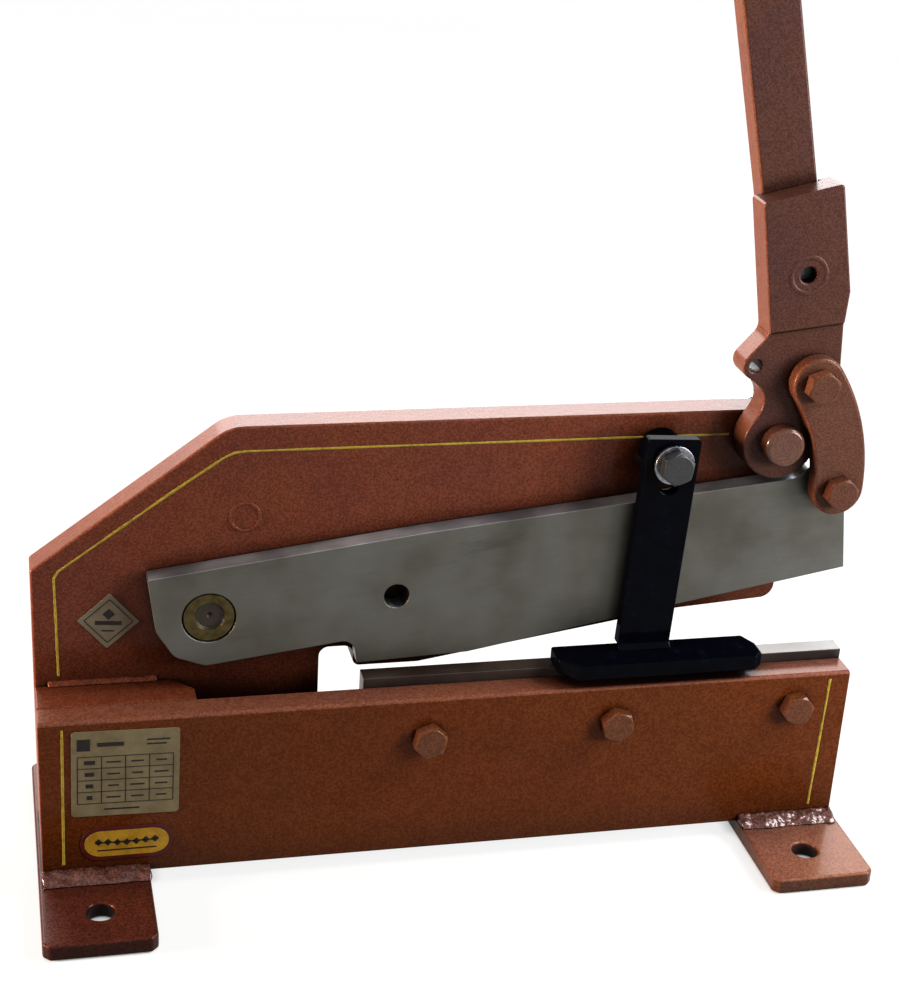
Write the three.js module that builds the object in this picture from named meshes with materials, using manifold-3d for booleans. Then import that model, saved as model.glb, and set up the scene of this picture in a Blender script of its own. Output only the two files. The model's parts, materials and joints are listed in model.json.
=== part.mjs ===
// Bench shear with a hand lever: a fixed lower blade, a hinged upper knife, a toggle link and a
// hold-down. Millimetres, +Z up, +X to the right along the blades, +Y away from the operator.
// Before the last shift the front plate's face is Y = 0, its left end is X = 0 and the bench is Z = 0.

import * as THREE from 'three';
import * as BufferGeometryUtils from 'three/addons/utils/BufferGeometryUtils.js';
import Module from 'manifold-3d';

const wasm = await Module();
wasm.setup();

// Frame plates
const frameLength = 488;
const frontPlateHeight = 102.5;
const frontPlateThickness = 18;
const frontEdgeRadius = 2.5;
const jawCover = 13.9;
const backPlateThickness = 20;
const shoulderStart = 176.5;
const shoulderRun = 112;
const shoulderRadius = 26;
const heelCornerRadius = 3;
const jawSetback = 35.5;
const jawTopRadius = 14;
const jawNoseRadius = 9;
const jawNoseHeight = 134;
const jawNoseSetback = 2.5;
const jawKneeInset = 66.5;
const jawKneeHeight = 129.2;
const tongueEndX = 226;
const tongueHeight = 103;
const tongueRadius = 4;
const reliefX = 166;
const reliefWidth = 20.5;
const reliefHeight = 116.5;
const reliefRadius = 6;
const lowerJawHeight = 52;
const lowerJawRadius = 8;

// Spacers between the plates
const endSpacerLength = 91;
const endSpacerCut = 13;
const lowSpacerHeight = 40;

// Feet and welds
const footWidth = 64;
const footOverhang = 2.5;
const footThickness = 10;
const footReach = 65;
const footCornerCut = 4;
const footHoleRadius = 8;
const footHoleInset = 36;
const footHoleFromEnd = 33.5;
const weldFootLeg = 12;
const weldPlateLeg = 5.5;
const weldBulge = 1.2;
const ledgeWeldLeg = 3;
const ledgeWeldStart = 8;

// Lower blade and its bolts
const bladeLength = 300;
const bladeHeight = 50;
const bladeThickness = 12;
const bladeProud = 6;
const bladeBoltFirst = 37;
const bladeBoltLast = 34;
const bladeBoltDrop = 32.1;
const bladeBoltRowRise = 4.5;
const bladeBoltCount = 3;
const bladeBoltAngle = 12;
const bladeBoltAngleStep = 25;

// Upper knife, drawn as it lies when closed, from its pivot
const knifeThickness = 13;
const knifeGap = 0.4;
const knifeBackClearance = 0.6;
const knifePivotX = 99.2;
const knifePivotRise = 39;
const knifeOpenAngle = 7.67;
const knifeEndMargin = 10.8;
const knifeTail = 31;
const knifeBackRise = 30.4;
const knifeBackBendX = 130;
const knifeBackFall = 5.6;
const knifeEarLength = 24;
const knifeEarRadius = 7;
const knifeHeelDrop = 30.5;
const knifeTailCorner = 27;
const knifeTailCutLength = 25;
const knifeTailCutBulge = 4.4;
const knifeTailCutRadius = 10;
const knifeStepX = 81.5;
const knifeStepRadius = 8;
const knifeStepDrop = 46.3;
const knifeBellyX = 148;
const knifeBellyDrop = 52.2;
const knifeToeDrop = 40.6;
const knifeHoleX = 109.2;
const knifeHoleDrop = 6.9;
const knifeHoleRadius = 7.5;

// Knife pivot
const pivotRadius = 15.3;
const pivotRecessRadius = 8.6;
const pivotRecessDepth = 2.4;
const pivotFaceInset = 0.7;
const pivotStemRadius = 12;
const pivotThreadRadius = 10;

// Lever plate, drawn upright, from its pin
const leverPinInset = 19.5;
const leverLeanAngle = 13.2;
const leverPlateThickness = 18;
const leverRunClearance = 0.5;
const leverBossRadius = 22.9;
const leverOpenClearance = 4.5;
const leverPinRadius = 10;
const leverPinHeadRadius = 12.3;
const leverPinHeadHeight = 9;
const leverPinThreadRadius = 8;
const earX = 23.7;
const earRise = 34.9;
const earRadius = 17;
const waistPullX = 0.8;
const waistPullRise = 30.5;
const lobeX = 9.5;
const lobeRise = 51.5;
const lobeRadius = 8;
const lobeHoleRadius = 3.9;
const lobeLowAngle = 226;
const lobeHighAngle = 124;
const bossHighAngle = 130;
const headBottomRise = 66;
const headLeftBottomRise = 68;
const headTopRise = 146.8;
const headTopX = 4.4;
const headWidth = 47.8;
const headCheekRise = 83;
const headCheekInset = 1.8;
const headNeckInset = 6.5;
const headStep = 1.5;
const headStepRise = 69.4;
const headStepFall = 5.5;
const headCheekCurve = 4;
const headCornerRadius = 2.5;

// Lever bar, its screw and its grip
const barWidth = 33;
const barThickness = 16;
const barLength = 900;
const barCentreX = 26.4;
const barFoot = 80;
const barPocketDepth = 3;
const barPocketClearance = 0.3;
const barScrewRise = 99;
const barScrewRadius = 4.5;
const barScrewSunk = 7;
const gripLength = 135;
const gripWall = 4.5;

// Toggle link
const linkThickness = 10;
const linkRadius = 16;
const linkBow = 5.5;
const linkClearance = 0.5;
const linkPinOutset = 16.68;
const linkPinDrop = 10.5;
const linkPlay = 6.9;
const linkLowBoltAngle = 22;
const linkHighBoltAngle = 28;

// Hold-down
const clampInset = 87.3;
const clampDrop = 21.5;
const clampBoltAngle = 8;
const armLeanAngle = 2.8;
const armWidth = 32.5;
const armOffset = 0.7;
const armThickness = 8;
const armTopMargin = 15;
const armKnifeClearance = 4.4;
const armCornerRadius = 1.5;
const slotTravel = 13;
const slotClearance = 0.4;
const shoeLength = 126;
const shoeDepth = 28;
const shoeThickness = 9.5;
const shoeOverhang = 2;
const shoeLeft = 62;
const shoeFrontCut = 11;
const shoeRearCut = 5;
const shoeWeldLeg = 4;
const clampSpacerRadius = 12.5;

// Labels
const labelThickness = 0.5;
const ratingWidth = 61;
const ratingHeight = 56;
const ratingX = 48.5;
const ratingDrop = 34.5;
const ratingTilt = 1.2;
const ovalWidth = 53;
const ovalHeight = 22;
const ovalRise = 21;
const diamondSide = 25;
const diamondX = 43;
const diamondRise = 142.5;
const diamondTilt = 4;

// Fasteners, by thread
const m12 = { radius: 6, flats: 18, head: 7.5, nut: 10, washer: 12, washerThickness: 2.5 };
const m10 = { radius: 4.5, flats: 17, head: 6.5, nut: 8, washer: 10, washerThickness: 2 };
const pivotNut = { flats: 30, nut: 15, washer: 18.5, washerThickness: 3 };
const pinNut = { flats: 24, nut: 12, washer: 15, washerThickness: 3 };
const threadTail = 3;
const headChamfer = 1.1;

// Fits and faceting
const seat = 0.3;
const boreClearance = 0.3;
const overrun = 2;
const weldSteps = 4;
const arcSteps = 5;
const boreSides = 30;
const bigSides = 48;
const weldTolerance = 1e-4;

// Places worked out from the sizes
const bladeY = frontPlateThickness;
const knifeY = bladeY + bladeThickness + knifeGap;
const backPlateY = knifeY + knifeThickness + knifeBackClearance;
const rearY = backPlateY + backPlateThickness;
const leverY = backPlateY - leverRunClearance - leverPlateThickness;
const linkY = leverY - linkClearance - linkThickness;
const armY = knifeY - armKnifeClearance - armThickness;
const frontPlateTop = footThickness + frontPlateHeight;
const bladeTop = frontPlateTop + bladeProud;
const bladeX = frameLength - bladeLength;
const knifePivotZ = bladeTop + knifePivotRise;
const degree = Math.PI / 180;
const openTurn = knifeOpenAngle * degree;

// The upper jaw carries the lever pin and the hold-down, and the link's lower pin clears its end
const upperJawReach = frameLength - jawSetback;
const leverPinX = upperJawReach - leverPinInset;
const clampX = upperJawReach - clampInset;
const linkPinHeight = knifeBackRise - linkPinDrop;
const linkPinReach = (upperJawReach + linkPinOutset - knifePivotX
  + linkPinHeight * Math.sin(openTurn)) / Math.cos(openTurn);
const knifeReach = linkPinReach + knifeEndMargin;

// The lever pin stands where its boss clears the straight of the open knife's back
const knifeBackX = knifePivotX - knifeBackRise * Math.sin(openTurn);
const knifeBackZ = knifePivotZ + knifeBackRise * Math.cos(openTurn);
const leverPinZ = knifeBackZ + (leverPinX - knifeBackX) * Math.tan(openTurn)
  + (leverBossRadius + leverOpenClearance - knifeBackFall) / Math.cos(openTurn);
const backPlateTop = leverPinZ + jawCover;

// A point given in a piece's own frame, carried into the frame around it
function placed(originX, originZ, turn, x, z) {
  return new THREE.Vector2(
    originX + x * Math.cos(turn) + z * Math.sin(turn),
    originZ - x * Math.sin(turn) + z * Math.cos(turn),
  );
}

const leverTurn = -leverLeanAngle * degree;
const linkLow = placed(knifePivotX, knifePivotZ, -openTurn, linkPinReach, linkPinHeight);
const linkHigh = placed(leverPinX, leverPinZ, leverTurn, earX, earRise);
const linkLength = linkHigh.distanceTo(linkLow);
const linkTurn = Math.atan2(linkHigh.x - linkLow.x, linkHigh.y - linkLow.y);
const clampZ = backPlateTop - clampDrop;

// Colours of the finishes
const enamelColour = 0x7a3f2e;
const weldColour = 0x6d4038;
const knifeColour = 0x5b5951;
const bladeColour = 0x3a322c;
const blackPaintColour = 0x14161a;
const zincColour = 0x8f9094;
const passivatedColour = 0x6e6238;
const labelColour = 0xa49c74;
const ovalColour = 0xb09a3c;
const gripColour = 0x17171a;

// Solids

function solidOf(geometry) {
  const bare = geometry.clone();
  bare.deleteAttribute('normal');
  bare.deleteAttribute('uv');
  const merged = BufferGeometryUtils.mergeVertices(bare, weldTolerance);
  return new wasm.Manifold(new wasm.Mesh({
    numProp: 3,
    vertProperties: Float32Array.from(merged.attributes.position.array),
    triVerts: Uint32Array.from(merged.index.array),
  }));
}

function geometryOf(solid) {
  const mesh = solid.getMesh();
  const geometry = new THREE.BufferGeometry();
  geometry.setAttribute('position', new THREE.BufferAttribute(mesh.vertProperties, 3));
  geometry.setIndex(new THREE.BufferAttribute(mesh.triVerts, 1));
  const facets = geometry.toNonIndexed();
  facets.computeVertexNormals();
  return facets;
}

// A closed outline of [x, z, radius] corners, each rounded by its radius
function outline(corners) {
  const shape = new THREE.Shape();
  corners.forEach(([x, z, radius = 0], i) => {
    const corner = new THREE.Vector2(x, z);
    const before = new THREE.Vector2(...corners.at(i - 1)).sub(corner).normalize();
    const after = new THREE.Vector2(...corners[(i + 1) % corners.length]).sub(corner).normalize();
    const half = Math.acos(before.dot(after)) / 2;
    const start = corner.clone().addScaledVector(before, radius / Math.tan(half));
    if (i === 0) shape.moveTo(start.x, start.y);
    else shape.lineTo(start.x, start.y);
    if (radius > 0) {
      const middle = before.clone().add(after).normalize();
      const centre = corner.clone().addScaledVector(middle, radius / Math.sin(half));
      const end = corner.clone().addScaledVector(after, radius / Math.tan(half));
      const from = Math.atan2(start.y - centre.y, start.x - centre.x);
      const to = Math.atan2(end.y - centre.y, end.x - centre.x);
      shape.absarc(centre.x, centre.y, radius, from, to, before.cross(after) > 0);
    }
  });
  shape.closePath();
  return shape;
}

// A slab with an X-Z outline, its front face at y
function slab(shape, y, thickness, steps = arcSteps) {
  const geometry = new THREE.ExtrudeGeometry(shape, {
    depth: thickness, bevelEnabled: false, curveSegments: steps,
  });
  geometry.rotateX(Math.PI / 2);
  geometry.translate(0, y + thickness, 0);
  return geometry;
}

// A bar with a Y-Z section, running along X
function bar(shape, x, length, steps = arcSteps) {
  const geometry = new THREE.ExtrudeGeometry(shape, {
    depth: length, bevelEnabled: false, curveSegments: steps,
  });
  geometry.applyMatrix4(new THREE.Matrix4().set(0, 0, 1, 0, 1, 0, 0, 0, 0, 1, 0, 0, 0, 0, 0, 1));
  geometry.translate(x, 0, 0);
  return geometry;
}

function block(x, y, z, width, depth, height) {
  const geometry = new THREE.BoxGeometry(width, depth, height);
  geometry.translate(x + width / 2, y + depth / 2, z + height / 2);
  return geometry;
}

// A round rod along Y
function rod(x, z, yFrom, yTo, radius, sides = boreSides) {
  const geometry = new THREE.CylinderGeometry(radius, radius, yTo - yFrom, sides);
  geometry.translate(x, (yFrom + yTo) / 2, z);
  return geometry;
}

// A round body along Y, turned from [radius, y] steps that start and end on its axis
function turned(steps, sides = boreSides) {
  const profile = steps.map(([radius, y]) => new THREE.Vector2(radius, y));
  return new THREE.LatheGeometry(profile, sides);
}

function cut(geometry, ...tools) {
  const solid = tools.reduce((body, tool) => body.subtract(solidOf(tool)), solidOf(geometry));
  return geometryOf(solid);
}

function join(...geometries) {
  return geometryOf(geometries.map(solidOf).reduce((body, other) => body.add(other)));
}

function overlap(geometry, other) {
  return geometryOf(solidOf(geometry).intersect(solidOf(other)));
}

// A ring along Y, such as a washer or a spacer sleeve
function ring(y, thickness, outer, inner) {
  return cut(
    rod(0, 0, y, y + thickness, outer),
    rod(0, 0, y - overrun, y + thickness + overrun, inner),
  );
}

// A hexagon along Y with the chamfered corners of a bolt head; the chamfer faces -Y
function hexagon(y, height, flats, turn) {
  const corner = flats / Math.sqrt(3);
  const prism = new THREE.CylinderGeometry(corner, corner, height, 6);
  prism.rotateY(turn);
  prism.translate(0, y + height / 2, 0);
  const dome = turned([
    [0, y - headChamfer], [flats / 2 - headChamfer, y], [corner + headChamfer, y + 2 * headChamfer],
    [corner + headChamfer, y + height + overrun], [0, y + height + overrun],
  ]);
  const flat = rod(0, 0, y, y + height, corner + headChamfer);
  return overlap(overlap(prism, dome), flat);
}

// A hexagon bolt whose head bears on y; a negative way points its shank towards -Y
function hexBolt(thread, y, shank, turn, way = 1) {
  const geometry = join(
    hexagon(-thread.head, thread.head, thread.flats, turn),
    rod(0, 0, -overrun, shank, thread.radius),
  );
  if (way < 0) geometry.rotateX(Math.PI);
  geometry.translate(0, y, 0);
  return geometry;
}

// A hexagon nut whose chamfered side faces +Y
function hexNut(thread, y, boreRadius, turn) {
  const height = thread.nut;
  const body = hexagon(-height, height, thread.flats, turn);
  body.rotateX(Math.PI);
  body.translate(0, y, 0);
  return cut(body, rod(0, 0, y - overrun, y + height + overrun, boreRadius));
}

function piece(name, geometry, color, roughness, metalness, x = 0, z = 0) {
  const material = new THREE.MeshStandardMaterial({ color, roughness, metalness });
  const mesh = new THREE.Mesh(geometry, material);
  mesh.name = name;
  mesh.position.set(x, 0, z);
  return mesh;
}

const painted = (name, geometry, x, z) => piece(name, geometry, enamelColour, 0.45, 0.35, x, z);
const blackened = (name, geometry, x, z) => piece(name, geometry, blackPaintColour, 0.4, 0.2, x, z);
const plated = (name, geometry, x, z) => piece(name, geometry, zincColour, 0.35, 0.9, x, z);

function turnedGroup(x, z, turn, ...children) {
  const group = new THREE.Group();
  group.position.set(x, 0, z);
  group.rotation.y = turn;
  group.add(...children);
  return group;
}

// Frame

// The back plate is a C: an upper jaw, a throat with a relief slot, and a lower jaw
function backPlate() {
  const base = footThickness;
  const top = backPlateTop;
  const noseZ = base + jawNoseHeight;
  const kneeZ = base + jawKneeHeight;
  const tongueZ = base + tongueHeight;
  const reliefRight = reliefX + reliefWidth;
  const lowerTop = base + lowerJawHeight;
  const shape = outline([
    [0, base, heelCornerRadius],
    [frameLength, base, heelCornerRadius],
    [frameLength, lowerTop, lowerJawRadius],
    [reliefX, lowerTop, lowerJawRadius],
    [reliefX, base + reliefHeight, reliefRadius],
    [reliefRight, base + reliefHeight, reliefRadius],
    [reliefRight, tongueZ, tongueRadius],
    [tongueEndX, tongueZ, tongueRadius],
    [upperJawReach - jawKneeInset, kneeZ],
    [upperJawReach - jawNoseSetback, noseZ, jawNoseRadius],
    [upperJawReach, top, jawTopRadius],
    [shoulderRun, top, shoulderRadius],
    [0, base + shoulderStart, heelCornerRadius],
  ]);
  const bores = [
    rod(knifePivotX, knifePivotZ, backPlateY - overrun, rearY + overrun, pivotStemRadius + boreClearance),
    rod(leverPinX, leverPinZ, backPlateY - overrun, rearY + overrun, leverPinRadius + boreClearance),
    rod(clampX, clampZ, backPlateY - overrun, rearY + overrun, m12.radius + boreClearance),
  ];
  return cut(slab(shape, backPlateY, backPlateThickness), ...bores);
}

function bladeBoltPlaces() {
  return Array.from({ length: bladeBoltCount }, (_, i) => {
    const share = i / (bladeBoltCount - 1);
    return {
      x: bladeX + bladeBoltFirst + share * (bladeLength - bladeBoltFirst - bladeBoltLast),
      z: bladeTop - bladeBoltDrop + share * bladeBoltRowRise,
    };
  });
}

function frontPlate() {
  const section = outline([
    [0, footThickness],
    [frontPlateThickness, footThickness],
    [frontPlateThickness, frontPlateTop],
    [0, frontPlateTop, frontEdgeRadius],
  ]);
  const bores = bladeBoltPlaces().map(({ x, z }) => (
    rod(x, z, -overrun, frontPlateThickness + overrun, m12.radius + boreClearance)
  ));
  return cut(bar(section, 0, frameLength), ...bores);
}

function endSpacer() {
  const depth = backPlateY - frontPlateThickness;
  const shape = new THREE.Shape();
  shape.moveTo(0, 0);
  shape.lineTo(endSpacerLength, 0);
  shape.lineTo(endSpacerLength, depth - endSpacerCut);
  shape.lineTo(endSpacerLength - endSpacerCut, depth);
  shape.lineTo(0, depth);
  const geometry = new THREE.ExtrudeGeometry(shape, { depth: frontPlateHeight, bevelEnabled: false });
  geometry.translate(0, frontPlateThickness, footThickness);
  return geometry;
}

function lowSpacer() {
  const depth = backPlateY - frontPlateThickness;
  return block(endSpacerLength, frontPlateThickness, footThickness,
    frameLength - endSpacerLength, depth, lowSpacerHeight);
}

// A foot is a flat bar under both plates, with a bolt hole at each end
function foot(holeFromLeft) {
  const length = footReach + rearY + footReach;
  const c = footCornerCut;
  const shape = new THREE.Shape();
  shape.moveTo(c, 0);
  shape.lineTo(footWidth - c, 0);
  shape.lineTo(footWidth, c);
  shape.lineTo(footWidth, length - c);
  shape.lineTo(footWidth - c, length);
  shape.lineTo(c, length);
  shape.lineTo(0, length - c);
  shape.lineTo(0, c);
  const geometry = new THREE.ExtrudeGeometry(shape, { depth: footThickness, bevelEnabled: false });
  const holes = [footReach - footHoleInset, length - footReach + footHoleInset].map((y) => {
    const hole = new THREE.CylinderGeometry(
      footHoleRadius, footHoleRadius, footThickness + 2 * overrun, boreSides);
    hole.rotateX(Math.PI / 2);
    hole.translate(holeFromLeft, y, footThickness / 2);
    return hole;
  });
  const drilled = cut(geometry, ...holes);
  drilled.translate(0, -footReach, 0);
  return drilled;
}

// A fillet bead with a slightly full face, in the corner of a foot and a plate
function footWeld(x, y, way) {
  const length = footWidth - footOverhang;
  const shape = new THREE.Shape();
  shape.moveTo(0, 0);
  shape.lineTo(-weldFootLeg, 0);
  shape.quadraticCurveTo(-weldFootLeg / 2 - weldBulge, weldPlateLeg / 2 + weldBulge, 0, weldPlateLeg);
  const geometry = bar(shape, -length / 2, length, weldSteps);
  if (way < 0) geometry.rotateZ(Math.PI);
  geometry.translate(x + length / 2, y, footThickness);
  return geometry;
}

// The bead that closes the seam between the end spacer and the back plate
function ledgeWeld() {
  const shape = new THREE.Shape();
  shape.moveTo(0, 0);
  shape.lineTo(0, ledgeWeldLeg);
  shape.lineTo(-ledgeWeldLeg, 0);
  const length = endSpacerLength - endSpacerCut - 2 * ledgeWeldStart;
  const geometry = bar(shape, ledgeWeldStart, length);
  geometry.translate(0, backPlateY, frontPlateTop);
  return geometry;
}

function lowerBlade() {
  const bores = bladeBoltPlaces().map(({ x, z }) => (
    rod(x, z, bladeY - overrun, bladeY + bladeThickness + overrun, m12.radius + boreClearance)
  ));
  return cut(block(bladeX, bladeY, bladeTop - bladeHeight, bladeLength, bladeThickness, bladeHeight),
    ...bores);
}

// Pivots

// A stepped pin: a wide journal in the knife, a stem in the back plate, a threaded tail
function knifePivotPin() {
  const face = knifeY + pivotFaceInset;
  const washer = rearY + pivotNut.washerThickness;
  return turned([
    [0, face + pivotRecessDepth], [pivotRecessRadius, face + pivotRecessDepth],
    [pivotRecessRadius, face], [pivotRadius - headChamfer, face], [pivotRadius, face + headChamfer],
    [pivotRadius, backPlateY - seat], [pivotStemRadius, backPlateY - seat], [pivotStemRadius, rearY],
    [pivotThreadRadius, rearY], [pivotThreadRadius, washer + pivotNut.nut + threadTail],
    [0, washer + pivotNut.nut + threadTail],
  ], bigSides);
}

function leverPin() {
  const bearing = leverY - seat;
  const face = bearing - leverPinHeadHeight;
  const washer = rearY + pinNut.washerThickness;
  const edge = 2 * headChamfer;
  return turned([
    [0, face], [leverPinHeadRadius - edge, face],
    [leverPinHeadRadius - headChamfer / 2, face + headChamfer / 2],
    [leverPinHeadRadius, face + edge], [leverPinHeadRadius, bearing], [leverPinRadius, bearing],
    [leverPinRadius, rearY], [leverPinThreadRadius, rearY],
    [leverPinThreadRadius, washer + pinNut.nut + threadTail], [0, washer + pinNut.nut + threadTail],
  ], bigSides);
}

// Knife

function knifeBlade() {
  const earX = knifeReach - knifeEarLength;
  const shape = outline([
    [-knifeTail, knifeBackRise],
    [-knifeTail, -knifeHeelDrop + knifeTailCorner, knifeTailCutRadius],
    [-knifeTail + knifeTailCutLength / 2 - knifeTailCutBulge,
      -knifeHeelDrop + knifeTailCorner / 2 - knifeTailCutBulge, knifeTailCutRadius],
    [-knifeTail + knifeTailCutLength, -knifeHeelDrop, knifeTailCutRadius],
    [knifeStepX, -knifeHeelDrop, knifeStepRadius],
    [knifeStepX, -knifeStepDrop],
    [knifeBellyX, -knifeBellyDrop],
    [knifeReach, -knifeToeDrop],
    [knifeReach, knifeBackRise, knifeEarRadius],
    [earX, knifeBackRise, knifeEarRadius],
    [earX - knifeBackFall, knifeBackRise - knifeBackFall, knifeEarRadius],
    [knifeBackBendX, knifeBackRise],
  ]);
  const from = knifeY - overrun;
  const to = knifeY + knifeThickness + overrun;
  return cut(
    slab(shape, knifeY, knifeThickness),
    rod(0, 0, from, to, pivotRadius + boreClearance, bigSides),
    rod(knifeHoleX, -knifeHoleDrop, from, to, knifeHoleRadius),
    rod(linkPinReach, linkPinHeight, from, to, m12.radius + boreClearance),
  );
}

// Lever

// The lever plate's edge: boss, ear for the link, lobe and the wide head
function leverOutline() {
  const shape = new THREE.Shape();
  const spread = Math.acos((leverBossRadius - earRadius) / Math.hypot(earX, earRise));
  const slant = Math.atan2(earRise, earX) - spread;
  const cheek = headTopX + headWidth;
  const neck = cheek - headNeckInset;
  const lobeLow = lobeLowAngle * degree;
  const lobeHigh = lobeHighAngle * degree;
  const bossHigh = bossHighAngle * degree;
  const cheekLean = headTopX / (headTopRise - headLeftBottomRise);
  const cheekRise = Math.tan(lobeHigh - Math.PI / 2);
  shape.absarc(-lobeX, lobeRise, lobeRadius, lobeLow, lobeHigh, true);
  shape.lineTo(-headCheekCurve, headLeftBottomRise - headCheekCurve * cheekRise);
  shape.quadraticCurveTo(0, headLeftBottomRise,
    headCheekCurve * cheekLean, headLeftBottomRise + headCheekCurve);
  const r = headCornerRadius;
  shape.lineTo(headTopX - r * cheekLean, headTopRise - r);
  shape.quadraticCurveTo(headTopX, headTopRise, headTopX + r, headTopRise);
  shape.lineTo(cheek - r, headTopRise);
  shape.quadraticCurveTo(cheek, headTopRise, cheek, headTopRise - r);
  shape.lineTo(cheek - headCheekInset, headCheekRise);
  shape.lineTo(neck, headBottomRise);
  shape.lineTo(earX + earRadius, earRise);
  shape.absarc(earX, earRise, earRadius, 0, slant, true);
  shape.absarc(0, 0, leverBossRadius, slant, bossHigh, true);
  shape.quadraticCurveTo(waistPullX, waistPullRise,
    -lobeX + lobeRadius * Math.cos(lobeLow), lobeRise + lobeRadius * Math.sin(lobeLow));
  return shape;
}

function leverHead() {
  const cheek = headTopX + headWidth;
  const faceY = leverY - headStep;
  const aboveStep = outline([
    [-headWidth, headStepRise + headStepFall],
    [cheek + headWidth, headStepRise - 2 * headStepFall],
    [cheek + headWidth, headTopRise + headWidth],
    [-headWidth, headTopRise + headWidth],
  ]);
  const face = overlap(
    slab(leverOutline(), faceY, 2 * headStep, 2 * arcSteps),
    slab(aboveStep, faceY - overrun, 2 * headStep + 2 * overrun),
  );
  const from = faceY - overrun;
  const to = leverY + leverPlateThickness + overrun;
  const pocketY = leverY + leverPlateThickness - barPocketDepth;
  return cut(
    join(
      slab(leverOutline(), leverY, leverPlateThickness, 2 * arcSteps),
      face,
    ),
    rod(0, 0, from, to, leverPinRadius + boreClearance),
    rod(earX, earRise, from, to, m12.radius + linkPlay),
    rod(-lobeX, lobeRise, from, to, lobeHoleRadius),
    rod(barCentreX, barScrewRise, from, to, barScrewRadius + boreClearance),
    block(barCentreX - barWidth / 2 - barPocketClearance, pocketY, barFoot - barPocketClearance,
      barWidth + 2 * barPocketClearance, to - pocketY, headTopRise),
  );
}

const barFrontY = leverY + leverPlateThickness - barPocketDepth + seat;

function leverBar() {
  const screw = rod(barCentreX, barScrewRise, barFrontY - overrun, barFrontY + barThickness + overrun,
    barScrewRadius + boreClearance);
  return cut(
    block(barCentreX - barWidth / 2, barFrontY, barFoot, barWidth, barThickness, barLength),
    screw,
  );
}

function barScrew() {
  const bearing = barFrontY + barThickness + m10.washerThickness + 2 * seat;
  const shank = bearing - (leverY - headStep) - barScrewSunk;
  return hexBolt({ ...m10, radius: barScrewRadius }, bearing, shank, 0, -1);
}

// A dipped sleeve with round flanks, closed over the bar's end
function handGrip() {
  const width = barWidth + 2 * (gripWall + seat);
  const depth = barThickness + 2 * (gripWall + seat);
  const end = barFoot + barLength;
  const section = outline([
    [-width / 2, -depth / 2, depth / 3],
    [width / 2, -depth / 2, depth / 3],
    [width / 2, depth / 2, depth / 3],
    [-width / 2, depth / 2, depth / 3],
  ]);
  const sleeve = new THREE.ExtrudeGeometry(section, {
    depth: gripLength, bevelEnabled: false, curveSegments: arcSteps,
  });
  sleeve.translate(barCentreX, barFrontY + barThickness / 2, end + gripWall + seat - gripLength);
  const hollow = block(barCentreX - barWidth / 2 - seat, barFrontY - seat, end - gripLength,
    barWidth + 2 * seat, barThickness + 2 * seat, gripLength + seat);
  return cut(sleeve, hollow);
}

// Link

// A bowed bar with round ends, from its lower pin to its upper pin
function linkPlate() {
  const half = linkLength / 2;
  const bowRadius = (half * half + linkBow * linkBow) / (2 * linkBow);
  const bowX = linkBow - bowRadius;
  const reach = Math.asin(half / bowRadius);
  const shape = new THREE.Shape();
  shape.absarc(bowX, half, bowRadius + linkRadius, -reach, reach, false);
  shape.absarc(0, linkLength, linkRadius, reach, Math.PI + reach, false);
  shape.absarc(bowX, half, bowRadius - linkRadius, reach, -reach, true);
  shape.absarc(0, 0, linkRadius, Math.PI - reach, 2 * Math.PI - reach, false);
  const to = linkY + linkThickness + overrun;
  const bore = m12.radius + boreClearance;
  return cut(
    slab(shape, linkY, linkThickness, 2 * arcSteps),
    rod(0, 0, linkY - overrun, to, bore),
    rod(0, linkLength, linkY - overrun, to, bore),
  );
}

// Hold-down

// The slotted arm, from the clamp bolt's axis; its slot lets it rise by the travel
function holdDownArm(length) {
  const half = armWidth / 2;
  const shape = outline([
    [-half - armOffset, armTopMargin - length, armCornerRadius],
    [half - armOffset, armTopMargin - length, armCornerRadius],
    [half - armOffset, armTopMargin, armCornerRadius],
    [-half - armOffset, armTopMargin, armCornerRadius],
  ]);
  const slotHalf = m12.radius + slotClearance;
  const slot = new THREE.Path();
  slot.absarc(0, 0, slotHalf, 0, Math.PI, false);
  slot.absarc(0, -slotTravel, slotHalf, Math.PI, 2 * Math.PI, false);
  shape.holes.push(slot);
  return slab(shape, armY, armThickness, 2 * arcSteps);
}

// The shoe lies on the lower blade; its plan corners are cut
function holdDownShoe(x, z) {
  const f = shoeFrontCut;
  const r = shoeRearCut;
  const shape = new THREE.Shape();
  shape.moveTo(f, 0);
  shape.lineTo(shoeLength - r, 0);
  shape.lineTo(shoeLength, r);
  shape.lineTo(shoeLength, shoeDepth - f);
  shape.lineTo(shoeLength - r, shoeDepth);
  shape.lineTo(0, shoeDepth);
  shape.lineTo(0, f);
  const geometry = new THREE.ExtrudeGeometry(shape, { depth: shoeThickness, bevelEnabled: false });
  geometry.translate(x, -shoeOverhang, z);
  return geometry;
}

function shoeWeld() {
  const shape = new THREE.Shape();
  shape.moveTo(0, 0);
  shape.lineTo(-shoeWeldLeg, 0);
  shape.lineTo(0, shoeWeldLeg);
  return bar(shape, -armWidth / 2, armWidth);
}

// Labels

function label(shape, y) {
  return slab(shape, y - labelThickness, labelThickness);
}

function tilted(corners, turn) {
  return corners.map(([x, z, radius]) => [
    x * Math.cos(turn) + z * Math.sin(turn), z * Math.cos(turn) - x * Math.sin(turn), radius,
  ]);
}

function boxCorners(width, height, radius) {
  return [[-1, -1], [1, -1], [1, 1], [-1, 1]].map(([sx, sz]) => (
    [sx * width / 2, sz * height / 2, radius]
  ));
}

// Assembly

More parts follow.
